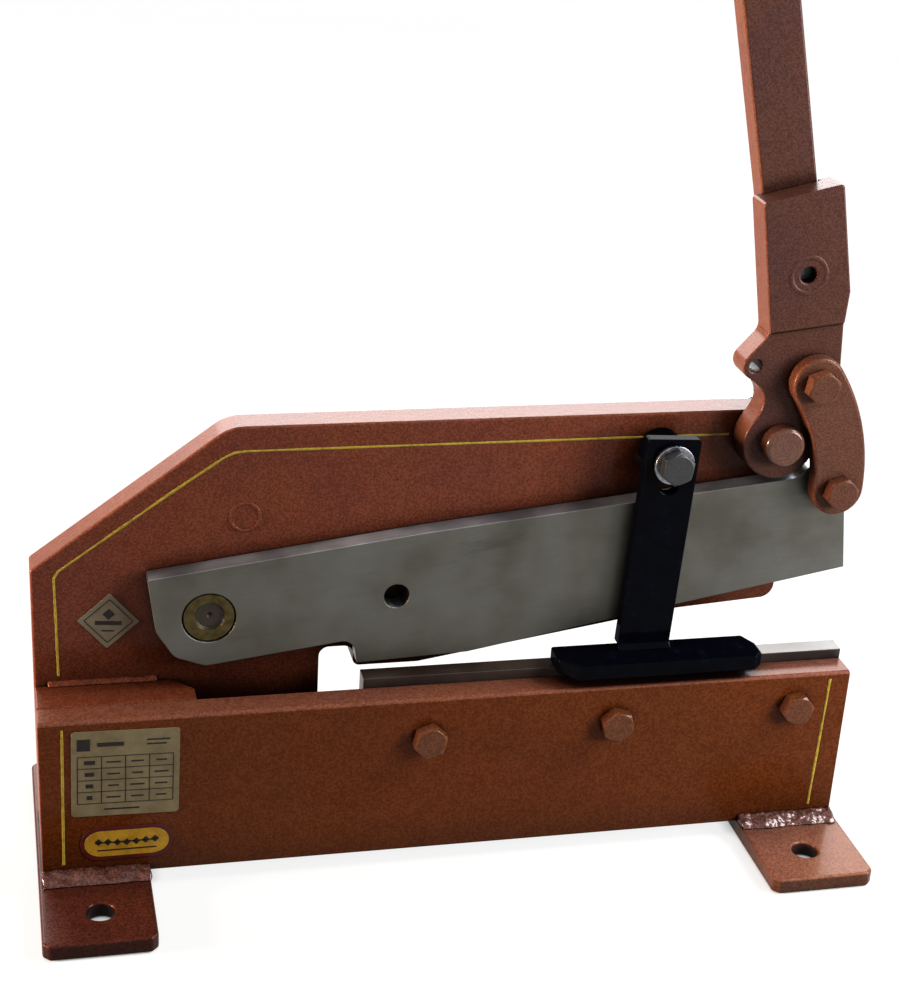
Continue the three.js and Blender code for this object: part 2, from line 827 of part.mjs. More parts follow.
function frameGroup() {
  const leftFootX = -footOverhang;
  const rightFootX = frameLength + footOverhang - footWidth;
  const group = new THREE.Group();
  group.add(
    painted('back_plate', backPlate()),
    painted('front_plate', frontPlate()),
    painted('end_spacer', endSpacer()),
    painted('low_spacer', lowSpacer()),
    painted('left_foot', foot(footHoleFromEnd), leftFootX),
    painted('right_foot', foot(footWidth - footHoleFromEnd), rightFootX),
    piece('ledge_weld', ledgeWeld(), weldColour, 0.5, 0.3),
    piece('lower_blade', lowerBlade(), bladeColour, 0.4, 0.9),
  );
  [['left', 0], ['right', rightFootX]].forEach(([side, x]) => {
    group.add(
      piece(`${side}_front_weld`, footWeld(x, 0, 1), weldColour, 0.5, 0.3),
      piece(`${side}_rear_weld`, footWeld(x, rearY, -1), weldColour, 0.5, 0.3),
    );
  });
  bladeBoltPlaces().forEach(({ x, z }, i) => {
    const shank = frontPlateThickness + bladeThickness - knifeGap;
    const turn = (bladeBoltAngle - bladeBoltAngleStep * i) * degree;
    group.add(painted(`blade_bolt_${i + 1}`, hexBolt(m12, 0, shank, turn), x, z));
  });
  return group;
}

function pivotGroup() {
  const group = new THREE.Group();
  group.add(
    piece('knife_pivot_pin', knifePivotPin(), passivatedColour, 0.4, 0.8, knifePivotX, knifePivotZ),
    plated('knife_pivot_washer', ring(rearY, pivotNut.washerThickness, pivotNut.washer,
      pivotThreadRadius + boreClearance), knifePivotX, knifePivotZ),
    plated('knife_pivot_nut', hexNut(pivotNut, rearY + pivotNut.washerThickness,
      pivotThreadRadius + boreClearance, 0), knifePivotX, knifePivotZ),
    painted('lever_pin', leverPin(), leverPinX, leverPinZ),
    plated('lever_pin_washer', ring(rearY, pinNut.washerThickness, pinNut.washer,
      leverPinThreadRadius + boreClearance), leverPinX, leverPinZ),
    plated('lever_pin_nut', hexNut(pinNut, rearY + pinNut.washerThickness,
      leverPinThreadRadius + boreClearance, 0), leverPinX, leverPinZ),
  );
  return group;
}

function knifeGroup() {
  const front = linkY - seat;
  const rear = knifeY + knifeThickness + seat;
  const bore = m12.radius + boreClearance;
  const shank = rear + m12.washerThickness + seat + m12.nut + threadTail - front;
  const spacerY = linkY + linkThickness + seat;
  return turnedGroup(knifePivotX, knifePivotZ, -openTurn,
    piece('knife', knifeBlade(), knifeColour, 0.4, 0.9),
    painted('link_low_bolt', hexBolt(m12, front, shank, linkLowBoltAngle * degree),
      linkPinReach, linkPinHeight),
    plated('link_low_spacer', ring(spacerY, knifeY - seat - spacerY, m12.washer, bore),
      linkPinReach, linkPinHeight),
    plated('link_low_washer', ring(rear, m12.washerThickness, m12.washer, bore),
      linkPinReach, linkPinHeight),
    plated('link_low_nut', hexNut(m12, rear + m12.washerThickness + seat, bore, 0),
      linkPinReach, linkPinHeight));
}

function leverGroup() {
  const washerY = barFrontY + barThickness + seat;
  return turnedGroup(leverPinX, leverPinZ, leverTurn,
    painted('lever_head', leverHead()),
    painted('lever_bar', leverBar()),
    plated('bar_screw', barScrew(), barCentreX, barScrewRise),
    plated('bar_screw_washer', ring(washerY, m10.washerThickness, m10.washer,
      barScrewRadius + boreClearance), barCentreX, barScrewRise),
    piece('hand_grip', handGrip(), gripColour, 0.7, 0));
}

function linkGroup() {
  const front = linkY - seat;
  const rear = leverY + leverPlateThickness + seat;
  const bore = m12.radius + boreClearance;
  const washer = m12.radius + linkPlay + 2 * seat;
  const shank = rear + m12.washerThickness + seat + m12.nut + threadTail - front;
  return turnedGroup(linkLow.x, linkLow.y, linkTurn,
    painted('link_plate', linkPlate()),
    painted('link_high_bolt', hexBolt(m12, front, shank, linkHighBoltAngle * degree),
      0, linkLength),
    plated('link_high_washer', ring(rear, m12.washerThickness, washer, bore), 0, linkLength),
    plated('link_high_nut', hexNut(m12, rear + m12.washerThickness + seat, bore, 0), 0, linkLength));
}

function holdDownGroup() {
  const shoeZ = bladeTop + seat;
  const lean = armLeanAngle * degree;
  const drop = clampZ - shoeZ - shoeThickness - seat;
  const length = armTopMargin + (drop - armWidth / 2 * Math.sin(lean)) / Math.cos(lean);
  const arm = turnedGroup(clampX, clampZ, lean, blackened('hold_down_arm', holdDownArm(length)));
  const bead = blackened('hold_down_weld', shoeWeld(), clampX - armOffset - drop * Math.tan(lean),
    shoeZ + shoeThickness);
  bead.position.y = armY - seat;
  const group = new THREE.Group();
  group.add(arm, bead, blackened('hold_down_shoe', holdDownShoe(clampX - shoeLeft, shoeZ)));
  return group;
}

function clampGroup() {
  const washerY = armY - seat - m12.washerThickness;
  const spacerY = armY + armThickness + seat;
  const bore = m12.radius + boreClearance;
  const shank = backPlateY + backPlateThickness - washerY;
  const group = new THREE.Group();
  group.add(
    blackened('clamp_bolt', hexBolt(m12, washerY, shank, clampBoltAngle * degree),
      clampX, clampZ),
    plated('clamp_washer', ring(washerY, m12.washerThickness, m12.washer, bore), clampX, clampZ),
    blackened('clamp_spacer', ring(spacerY, backPlateY - spacerY, clampSpacerRadius, bore),
      clampX, clampZ),
  );
  return group;
}

function labelGroup() {
  const rating = outline(tilted(boxCorners(ratingWidth, ratingHeight, gripWall / 2), ratingTilt * degree));
  const oval = outline(boxCorners(ovalWidth, ovalHeight, ovalHeight / 2 - labelThickness));
  const diamondTurn = (45 + diamondTilt) * degree;
  const diamond = outline(tilted(boxCorners(diamondSide, diamondSide, labelThickness), diamondTurn));
  const group = new THREE.Group();
  group.add(
    piece('rating_label', label(rating, 0), labelColour, 0.5, 0, ratingX, frontPlateTop - ratingDrop),
    piece('oval_label', label(oval, 0), ovalColour, 0.4, 0, ratingX, footThickness + ovalRise),
    piece('diamond_label', label(diamond, backPlateY), labelColour, 0.5, 0,
      diamondX, footThickness + diamondRise),
  );
  return group;
}

const shear = new THREE.Group();
shear.add(
  frameGroup(), pivotGroup(), knifeGroup(), leverGroup(), linkGroup(),
  clampGroup(), holdDownGroup(), labelGroup(),
);
// The origin is under the middle of the feet
shear.position.set(-frameLength / 2, -rearY / 2, 0);

export default shear;
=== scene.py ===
import json
import math
import random

import bpy
from mathutils import Matrix, Vector

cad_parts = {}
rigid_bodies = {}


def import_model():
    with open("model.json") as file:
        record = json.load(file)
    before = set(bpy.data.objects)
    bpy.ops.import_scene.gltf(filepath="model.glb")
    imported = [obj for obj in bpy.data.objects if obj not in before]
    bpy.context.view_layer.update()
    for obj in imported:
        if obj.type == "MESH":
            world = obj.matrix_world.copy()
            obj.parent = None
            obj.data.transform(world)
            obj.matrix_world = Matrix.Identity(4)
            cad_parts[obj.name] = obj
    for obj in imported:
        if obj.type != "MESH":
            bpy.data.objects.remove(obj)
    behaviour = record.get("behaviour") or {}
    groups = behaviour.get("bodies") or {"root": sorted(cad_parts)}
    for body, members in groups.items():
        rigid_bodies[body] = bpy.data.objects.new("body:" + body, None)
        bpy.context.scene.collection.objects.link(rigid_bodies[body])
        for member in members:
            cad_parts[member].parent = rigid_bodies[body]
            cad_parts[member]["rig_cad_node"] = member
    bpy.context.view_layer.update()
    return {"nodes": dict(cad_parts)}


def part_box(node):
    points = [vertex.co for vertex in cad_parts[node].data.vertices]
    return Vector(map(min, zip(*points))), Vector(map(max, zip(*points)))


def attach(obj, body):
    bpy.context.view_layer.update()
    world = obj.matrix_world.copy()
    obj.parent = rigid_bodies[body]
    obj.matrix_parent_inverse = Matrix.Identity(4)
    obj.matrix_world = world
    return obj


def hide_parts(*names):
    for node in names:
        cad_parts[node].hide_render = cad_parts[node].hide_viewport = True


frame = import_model()
mm = 0.001


# small helpers

def toLinear(hexText):  # sRGB hex to the linear colour that shaders use
    values = [int(hexText[i:i + 2], 16) / 255 for i in (1, 3, 5)]
    return [v / 12.92 if v <= 0.04045 else ((v + 0.055) / 1.055) ** 2.4 for v in values] + [1.0]


def perMm(size):  # texture scale whose features are about that many millimetres
    return 1000 / size


def pickOnly(piece):
    bpy.ops.object.select_all(action="DESELECT")
    piece.select_set(True)
    bpy.context.view_layer.objects.active = piece


def editMode(piece):
    pickOnly(piece)
    bpy.ops.object.mode_set(mode="EDIT")
    bpy.ops.mesh.select_all(action="SELECT")


def objectMode():
    bpy.ops.object.mode_set(mode="OBJECT")


def named(name):  # the newest object, under its own name
    piece = bpy.context.active_object
    piece.name = name
    piece.data.name = name
    return piece


def applied(piece):
    pickOnly(piece)
    bpy.ops.object.transform_apply(location=True, rotation=True, scale=True)
    return piece


def modified(piece, kind, **settings):  # adds one modifier and applies it
    pickOnly(piece)
    bpy.ops.object.modifier_add(type=kind)
    modifier = piece.modifiers[-1]
    for key, value in settings.items():
        setattr(modifier, key, value)
    bpy.ops.object.modifier_apply(modifier=modifier.name)
    return piece


def rounded(piece, width, segments=3, angle=30, smooth=35):
    # Rounds the sharp edges, then takes the normals from the flats so that those stay flat up to their rims
    if width > 0:
        modified(piece, "BEVEL", limit_method="ANGLE", angle_limit=math.radians(angle), width=width * mm,
                 segments=segments, use_clamp_overlap=False, face_strength_mode="FSTR_AFFECTED")
    pickOnly(piece)
    bpy.ops.object.shade_smooth_by_angle(angle=math.radians(smooth))
    modified(piece, "WEIGHTED_NORMAL", weight=100, keep_sharp=True, use_face_influence=True)
    return piece


splitting = {"reach": 60, "step": 0.05, "firstMerge": 0.01, "lastMerge": 0.08}  # steps each way, then mm


def clearOfCorners(piece, axis, level):  # the place near that level, in mm, farthest from any corner
    p = splitting
    corners = [v.co["xyz".index(axis)] / mm for v in piece.data.vertices]
    tries = [level + p["step"] * i for i in range(-p["reach"], p["reach"] + 1)]
    return max(tries, key=lambda place: min(abs(place - corner) for corner in corners))


def mergedCopy(node, name, splits=(), dissolve=0.6):
    # A CAD node's copy with whole faces; each split (axis, place in mm) runs through a hole, so that the
    # flats round it are plain outlines without holes, which a bevel leaves whole
    p = splitting
    pickOnly(frame["nodes"][node])
    bpy.ops.object.duplicate()
    piece = named(name)
    del piece["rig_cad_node"]
    splits = [(axis, clearOfCorners(piece, axis, level)) for axis, level in splits]
    editMode(piece)
    bpy.ops.mesh.remove_doubles(threshold=p["firstMerge"] * mm)
    for axis, level in splits:
        across = Vector((1, 0, 0)) if axis == "x" else Vector((0, 0, 1))
        bpy.ops.mesh.select_all(action="SELECT")
        bpy.ops.mesh.bisect(plane_co=across * level * mm, plane_no=across)
        bpy.ops.mesh.mark_seam(clear=False)
    bpy.ops.mesh.select_all(action="SELECT")
    bpy.ops.mesh.remove_doubles(threshold=p["lastMerge"] * mm)
    bpy.ops.mesh.dissolve_limited(angle_limit=math.radians(dissolve), delimit={"NORMAL", "SEAM"})
    objectMode()
    return piece


def dressed(piece, material, body, slot, *nodes):
    piece.data.materials.clear()
    piece.data.materials.append(material)
    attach(piece, body)
    if nodes:
        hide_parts(*nodes)
    return piece


def facesTowards(name, material, direction, share):  # a second material on the faces that look that way
    piece = bpy.data.objects[name]
    piece.data.materials.append(material)
    for face in piece.data.polygons:
        if face.normal.dot(Vector(direction)) > share:
            face.material_index = 1


def middle(node):  # mm
    low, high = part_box(node)
    return (Vector(low) + Vector(high)) / 2 / mm


def reach(node):  # the node's front and back, in mm
    low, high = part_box(node)
    return low[1] / mm, high[1] / mm


def joined(pieces, name):
    pickOnly(pieces[0])
    for piece in pieces:
        piece.select_set(True)
    if len(pieces) > 1:
        bpy.ops.object.join()
    return named(name)


def outward(piece):
    editMode(piece)
    bpy.ops.mesh.normals_make_consistent(inside=False)
    objectMode()
    return piece


def cutBy(piece, tool, operation="DIFFERENCE"):
    modified(piece, "BOOLEAN", operation=operation, object=tool, solver="EXACT")
    bpy.data.objects.remove(tool, do_unlink=True)
    return piece


def extruded(name, steps, sides):
    # A round body along +Y: a filled circle, then one extrusion and one scaling for each (radius, y) in mm
    radius, y = steps[0]
    bpy.ops.object.select_all(action="DESELECT")
    bpy.ops.mesh.primitive_circle_add(vertices=sides, radius=radius * mm, fill_type="NGON",
                                      location=(0, y * mm, 0), rotation=(math.pi / 2, 0, 0))
    piece = applied(named(name))
    editMode(piece)
    for nextRadius, nextY in steps[1:]:
        bpy.ops.mesh.extrude_region_move(TRANSFORM_OT_translate={"value": (0, (nextY - y) * mm, 0)})
        k = nextRadius / radius
        bpy.ops.transform.resize(value=(k, 1, k), center_override=(0, nextY * mm, 0))
        radius, y = nextRadius, nextY
    objectMode()
    return outward(piece)


def placed(piece, x, z, turn=0.0):  # moves a piece made on the Y axis to its own axis, x and z in mm
    piece.location = (x * mm, 0, z * mm)
    piece.rotation_euler = (0, turn, 0)
    return applied(piece)


def cornerAngle(item, x=0.0, z=0.0):  # where the corner farthest from the axis (x, z) stands
    offsets = [(v.co.x / mm - x, v.co.z / mm - z) for v in item.data.vertices]
    far = max(offsets, key=lambda o: o[0] ** 2 + o[1] ** 2)
    return math.atan2(far[0], far[1])


# camera, matched to the photograph from its straight edges

camera = {
    "place": (-255.3, -974.2, 668.7),  # mm
    "yaw": 13.80,  # to the right, degrees
    "pitch": 24.25,  # downwards
    "roll": 3.20,
    "focalPixels": 1916.5,
    "longSidePixels": 1000,
    "sensor": 36,  # mm
    "shift": (0.0159, 0.013),
    "farthest": 50,  # metres
}


def makeCamera():
    p = camera
    data = bpy.data.cameras.new("camera")
    data.sensor_width = p["sensor"]
    data.lens = p["focalPixels"] / p["longSidePixels"] * p["sensor"]
    data.shift_x, data.shift_y = p["shift"]
    data.clip_end = p["farthest"]
    item = bpy.data.objects.new("camera", data)
    bpy.context.scene.collection.objects.link(item)
    turn = (Matrix.Rotation(math.radians(-p["yaw"]), 4, "Z")
            @ Matrix.Rotation(math.radians(90 - p["pitch"]), 4, "X")
            @ Matrix.Rotation(math.radians(p["roll"]), 4, "Z"))
    item.matrix_world = Matrix.Translation(Vector(p["place"]) * mm) @ turn
    bpy.context.scene.camera = item


makeCamera()
print("camera set")


# materials

def link(material, source, target):  # the source is a socket, or a node whose first output in use is meant
    if isinstance(source, bpy.types.Node):
        source = next(socket for socket in source.outputs if socket.enabled)
    material.node_tree.links.new(source, target)


def addNode(material, kind, settings=None, links=None):
    # Adds one node with its properties, its inputs' values, its ramp's stops and its links
    node = material.node_tree.nodes.new(kind)
    for key, value in (settings or {}).items():
        if key == "stops":
            while len(node.color_ramp.elements) < len(value):
                node.color_ramp.elements.new(1.0)
            for element, (position, colour) in zip(node.color_ramp.elements, value):
                element.position = position
                element.color = toLinear(colour)
        elif isinstance(key, str) and hasattr(node, key):
            setattr(node, key, value)
        else:
            node.inputs[key].default_value = value
    for key, source in (links or {}).items():
        link(material, source, node.inputs[key])
    return node


mixing = {"data_type": "RGBA"}  # input 0 is the share, 6 and 7 are the two colours
multiplying = {"data_type": "RGBA", "blend_type": "MULTIPLY", 0: 1.0}


def startMaterial(name, **settings):
    material = bpy.data.materials.new(name)
    material.use_nodes = True
    shader = material.node_tree.nodes["Principled BSDF"]
    for key, value in settings.items():
        shader.inputs[key.replace("_", " ")].default_value = value
    place = addNode(material, "ShaderNodeTexCoord").outputs["Object"]
    return material, shader, place


# painted shade: an occlusion mask that darkens the colour in hollows and where pieces meet
def paintedCornerShade(material, distance, low, high, darkest):  # 1 in the open, falling to darkest where pieces meet
    near = addNode(material, "ShaderNodeAmbientOcclusion", {"Distance": distance * mm, "samples": 8})
    return addNode(material, "ShaderNodeMapRange", {"From Min": low, "From Max": high, "To Min": darkest},
                   {"Value": near.outputs["AO"]})


def finished(material, shader, colour, height, strength, depth, roughness=None):
    # Puts a finish on its shader: colour, relief that many mm deep, and roughness where it varies
    link(material, colour, shader.inputs["Base Color"])
    if roughness:
        link(material, roughness, shader.inputs["Roughness"])
    relief = addNode(material, "ShaderNodeBump", {"Strength": strength, "Distance": depth * mm},
                     {"Height": height})
    link(material, relief, shader.inputs["Normal"])
    return material


# Hammer enamel, a stoved copper-bronze paint on hot-rolled plate: a fine mottle that drifts between orange
# and violet brown, an orange-peel skin, sparse black specks, and painted shade where pieces meet.
enamel = {
    "grain": 1.3,  # mm, mottle
    "patch": 7,  # mm, patches of tone
    "patchShare": 0.15,
    "cloud": 70,  # mm, slow drift of hue
    "speck": 9,  # mm between the few black specks
    "speckColour": "#150d0c",
    "peel": 3.6,  # mm, orange peel
    "peelStrength": 0.7,
    "grainRise": 0.3,  # the grain's share in the relief
    "pit": 14,  # mm between scuffs
    "cornerShadeReach": 55,  # mm
    "sheen": "#c88a6a",
}


def makeEnamel(name, dark, tone, light, warm, cool, peelDepth=0.18, deepestShade=0.04, coat=0.1):
    p = enamel
    m, shader, place = startMaterial(name, Metallic=0.12, Specular_IOR_Level=0.07, Coat_Weight=coat,
                                     Specular_Tint=toLinear(p["sheen"]), Coat_Roughness=0.16)
    grain = addNode(m, "ShaderNodeTexNoise", {"Scale": perMm(p["grain"]), "Detail": 3.0, "Roughness": 0.6},
                    {"Vector": place})
    patch = addNode(m, "ShaderNodeTexNoise", {"Scale": perMm(p["patch"])}, {"Vector": place})
    mottle = addNode(m, "ShaderNodeMix", {**mixing, 0: p["patchShare"]}, {6: grain, 7: patch})
    colour = addNode(m, "ShaderNodeValToRGB", {"stops": [(0.42, dark), (0.5, tone), (0.58, light)]},
                     {"Fac": mottle})
    drift = addNode(m, "ShaderNodeTexNoise", {"Scale": perMm(p["cloud"]), "Roughness": 0.55},
                    {"Vector": place})
    tint = addNode(m, "ShaderNodeValToRGB", {"stops": [(0.38, warm), (0.62, cool)]}, {"Fac": drift})
    colour = addNode(m, "ShaderNodeMix", multiplying, {6: colour, 7: tint})
    cells = addNode(m, "ShaderNodeTexVoronoi", {"Scale": perMm(p["speck"])}, {"Vector": place})
    speck = addNode(m, "ShaderNodeMapRange",
                    {"From Min": 0.035, "From Max": 0.06, "To Min": 1.0, "To Max": 0.0},
                    {"Value": cells.outputs["Distance"]})
    colour = addNode(m, "ShaderNodeMix", {**mixing, 7: toLinear(p["speckColour"])}, {0: speck, 6: colour})
    pits = addNode(m, "ShaderNodeTexNoise", {"Scale": perMm(p["pit"]), "Detail": 5.0, "Roughness": 0.7},
                   {"Vector": place})
    scuff = addNode(m, "ShaderNodeMapRange", {"From Min": 0.68, "From Max": 0.74, "To Max": 0.45},
                    {"Value": pits})
    colour = addNode(m, "ShaderNodeMix", {**mixing, 7: toLinear(dark)}, {0: scuff, 6: colour})
    # painted shade: the colour darkens in hollows and where pieces meet
    corners = paintedCornerShade(m, p["cornerShadeReach"], 0.3, 0.85, deepestShade)
    colour = addNode(m, "ShaderNodeMix", multiplying, {6: colour, 7: corners})
    roughness = addNode(m, "ShaderNodeMapRange",
                        {"From Min": 0.3, "From Max": 0.7, "To Min": 0.34, "To Max": 0.46}, {"Value": grain})
    peel = addNode(m, "ShaderNodeTexNoise", {"Scale": perMm(p["peel"]), "Detail": 1.5}, {"Vector": place})
    skin = addNode(m, "ShaderNodeMath", {"operation": "MULTIPLY_ADD", 1: p["grainRise"]}, {0: grain, 2: peel})
    return finished(m, shader, colour, skin, p["peelStrength"], peelDepth, roughness)


# Copies of one hammer enamel, their tones set for how bright each part looks, so their differences are partly
# painted light and shade: the left foot darker as painted shade, the right foot lighter as painted light,
# lever, link and bolts darker.
plateEnamel = makeEnamel("enamelBackPlate", "#552c1e", "#613323", "#6d3c2a", "#fff2e6", "#f2e8f6")
frontEnamel = makeEnamel("enamelFrontPlate", "#4d2209", "#562a0e", "#603216", "#fff2e6", "#f4eaee")
shadedFootEnamel = makeEnamel("enamelFootPaintedShade", "#321710", "#3c1d16", "#48251d", "#fff2e6", "#f4e8f0")
litFootEnamel = makeEnamel("enamelFootPaintedLight", "#5e3c2c", "#694636", "#755142", "#fff2e6", "#f4e8f0")
leverEnamel = makeEnamel("enamelLever", "#3a2520", "#422b25", "#4b312a", "#fff4ea", "#f2eaf6", deepestShade=0.5)
linkEnamel = makeEnamel("enamelLink", "#472d23", "#503429", "#5a3c2f", "#fff4ea", "#f4ecf4", deepestShade=0.5)
boltEnamel = makeEnamel("enamelBolts", "#4a2814", "#542f1a", "#603922", "#fff4ea", "#f6eef0",
                        peelDepth=0.06, deepestShade=0.4, coat=0.3)
pinEnamel = makeEnamel("enamelPin", "#472d23", "#503429", "#5a3c2f", "#fff4ea", "#f4ecf4",
                       deepestShade=0.5, coat=0.5)
# painted light: a paler copy for the faces that look up or to the left, where the light falls
paintedLightEnamel = makeEnamel("enamelPaintedLight", "#5c3628", "#65402f", "#70493a", "#fff2e6", "#f4e8f0")
weldEnamel = makeEnamel("enamelWelds", "#3c241d", "#4a2e27", "#603f36", "#f8f0f0", "#eee8f4", coat=0.5)


# Ground tool steel, wiped with oil: warm grey, faint grinding lines along the blade, broad cloudy stains
# and a few dark smears, with painted shade in the corners. The knife's ground back gets a paler copy,
# lightened beyond the steel's own tone as a painted highlight.
groundSteel = {
    "stain": 45,  # mm
    "smear": 22,  # mm
    "smearColour": "#35332f",
    "lineStretch": 0.03,  # a line's thickness over its length
    "smearStretch": 0.22,
    "lineDepth": 0.02,  # mm
    "shadeReach": 9,  # mm
}


def makeGroundSteel(name, dark, tone, light, tilt, lines=0.7, roughness=0.44, metallic=0.85):
    p = groundSteel
    m, shader, place = startMaterial(name, Metallic=metallic)
    turned = addNode(m, "ShaderNodeMapping", {"Rotation": (0, math.radians(tilt), 0)}, {"Vector": place})
    drawn = addNode(m, "ShaderNodeMapping", {"Scale": (p["lineStretch"], 1, 1)}, {"Vector": turned})
    grind = addNode(m, "ShaderNodeTexNoise", {"Scale": perMm(lines)}, {"Vector": drawn})
    stain = addNode(m, "ShaderNodeTexNoise", {"Scale": perMm(p["stain"]), "Detail": 4.0}, {"Vector": place})
    colour = addNode(m, "ShaderNodeValToRGB", {"stops": [(0.34, dark), (0.5, tone), (0.66, light)]},
                     {"Fac": stain})
    lineShade = addNode(m, "ShaderNodeMapRange",
                        {"From Min": 0.3, "From Max": 0.7, "To Min": 0.95, "To Max": 1.04}, {"Value": grind})
    colour = addNode(m, "ShaderNodeMix", multiplying, {6: colour, 7: lineShade})
    wiped = addNode(m, "ShaderNodeMapping", {"Scale": (p["smearStretch"], 1, 1)}, {"Vector": turned})
    oil = addNode(m, "ShaderNodeTexNoise", {"Scale": perMm(p["smear"]), "Detail": 5.0, "Roughness": 0.62},
                  {"Vector": wiped})
    smear = addNode(m, "ShaderNodeMapRange", {"From Min": 0.62, "From Max": 0.74, "To Max": 0.55},
                    {"Value": oil})
    colour = addNode(m, "ShaderNodeMix", {**mixing, 7: toLinear(p["smearColour"])}, {0: smear, 6: colour})
    # painted shade: the colour darkens in hollows and where pieces meet
    corners = paintedCornerShade(m, p["shadeReach"], 0.3, 0.9, 0.35)
    colour = addNode(m, "ShaderNodeMix", multiplying, {6: colour, 7: corners})
    dull = addNode(m, "ShaderNodeMapRange",
                   {"From Min": 0.3, "From Max": 0.7, "To Min": roughness - 0.06, "To Max": roughness + 0.08},
                   {"Value": stain})
    return finished(m, shader, colour, grind, 0.2, p["lineDepth"], dull)


knifeTilt = 7.67  # degrees, as the knife lies open
knifeSteel = makeGroundSteel("steelKnife", "#46443d", "#504f49", "#565552", knifeTilt)
knifeBackHighlightSteel = makeGroundSteel("steelKnifeBackHighlight", "#6a7078", "#8c929a", "#a8aeb6", knifeTilt, lines=2.0)
bladeSteel = makeGroundSteel("steelLowerBlade", "#1a110d", "#251b17", "#362b24", 0, roughness=0.38,
                             metallic=0.3)


# Black brushing enamel, thick, over flat bar: blue-black with soft brush waves and a little dust.
blackEnamel = {"dust": 9, "brush": 5, "brushDepth": 0.1, "sheen": "#5a6a9a"}  # mm, and a colour


def makeBlackPaint(name):
    p = blackEnamel
    m, shader, place = startMaterial(name, Specular_IOR_Level=0.0, Coat_Weight=0.05, Coat_Roughness=0.1,
                                     Specular_Tint=toLinear(p["sheen"]))
    dust = addNode(m, "ShaderNodeTexNoise", {"Scale": perMm(p["dust"]), "Detail": 6.0, "Roughness": 0.7},
                   {"Vector": place})
    colour = addNode(m, "ShaderNodeValToRGB",
                     {"stops": [(0.35, "#020205"), (0.6, "#030409"), (0.8, "#0b0e16")]}, {"Fac": dust})
    roughness = addNode(m, "ShaderNodeMapRange",
                        {"From Min": 0.3, "From Max": 0.7, "To Min": 0.24, "To Max": 0.4}, {"Value": dust})
    waves = addNode(m, "ShaderNodeTexNoise", {"Scale": perMm(p["brush"]), "Detail": 1.0}, {"Vector": place})
    return finished(m, shader, colour, waves, 0.4, p["brushDepth"], roughness)


blackPaint = makeBlackPaint("paintBlack")


# Zinc plate on steel: even grey with a faint crystalline mottle; the yellow kind is chromate-passivated,
# turned steel is oily and brown, and the phosphated kind is near black and dull.
plating = {"shadeReach": 4, "depth": 0.03}  # mm


def makePlated(name, dark, light, roughness=0.32, size=2.5, metallic=1.0):
    p = plating
    m, shader, place = startMaterial(name, Metallic=metallic)
    mottle = addNode(m, "ShaderNodeTexNoise", {"Scale": perMm(size), "Detail": 4.0}, {"Vector": place})
    colour = addNode(m, "ShaderNodeValToRGB", {"stops": [(0.35, dark), (0.65, light)]}, {"Fac": mottle})
    # painted shade: the colour darkens in hollows and where pieces meet
    corners = paintedCornerShade(m, p["shadeReach"], 0.3, 0.9, 0.4)
    colour = addNode(m, "ShaderNodeMix", multiplying, {6: colour, 7: corners})
    dull = addNode(m, "ShaderNodeMapRange",
                   {"From Min": 0.3, "From Max": 0.7, "To Min": roughness - 0.08, "To Max": roughness + 0.1},
                   {"Value": mottle})
    return finished(m, shader, colour, mottle, 0.3, p["depth"], dull)


zincPlate = makePlated("zincPlate", "#66686e", "#8a8c92")
yellowZinc = makePlated("zincYellow", "#362e1a", "#4a4128", roughness=0.42, size=4)
boreSteel = makePlated("steelTurned", "#221b14", "#322a20", roughness=0.5, size=3, metallic=0.6)
phosphate = makePlated("steelPhosphated", "#08080a", "#101114", roughness=0.42, size=1.6, metallic=0.15)


# Dipped vinyl on the grip: matt black with a fine leather-like pebble.
vinyl = {"pebble": 1.4, "pebbleDepth": 0.15, "wear": 24, "shadeReach": 5}  # mm


def makeVinyl(name):
    p = vinyl
    m, shader, place = startMaterial(name, Roughness=0.6, Specular_IOR_Level=0.2)
    pebble = addNode(m, "ShaderNodeTexVoronoi", {"Scale": perMm(p["pebble"])}, {"Vector": place})
    wear = addNode(m, "ShaderNodeTexNoise", {"Scale": perMm(p["wear"]), "Detail": 4.0}, {"Vector": place})
    colour = addNode(m, "ShaderNodeValToRGB", {"stops": [(0.35, "#0b0b0c"), (0.65, "#151517")]},
                     {"Fac": wear})
    # painted shade: the colour darkens in hollows and where pieces meet
    corners = paintedCornerShade(m, p["shadeReach"], 0.3, 0.9, 0.5)
    colour = addNode(m, "ShaderNodeMix", multiplying, {6: colour, 7: corners})
    return finished(m, shader, colour, pebble.outputs["Distance"], 0.6, p["pebbleDepth"])


gripVinyl = makeVinyl("vinylGrip")


# Printing ink, foil and line paint: flat films, a little uneven where the brush or the screen left less.
film = {"shadeReach": 2, "depth": 0.03}  # mm


def makeFilm(name, dark, light, roughness=0.5, size=6.0):
    p = film
    m, shader, place = startMaterial(name, Roughness=roughness, Specular_IOR_Level=0.2)
    thin = addNode(m, "ShaderNodeTexNoise", {"Scale": perMm(size), "Detail": 5.0, "Roughness": 0.65},
                   {"Vector": place})
    colour = addNode(m, "ShaderNodeValToRGB", {"stops": [(0.35, dark), (0.62, light)]}, {"Fac": thin})
    # painted shade: the colour darkens in hollows and where pieces meet
    corners = paintedCornerShade(m, p["shadeReach"], 0.3, 0.9, 0.6)
    colour = addNode(m, "ShaderNodeMix", multiplying, {6: colour, 7: corners})
    return finished(m, shader, colour, thin, 0.3, p["depth"])


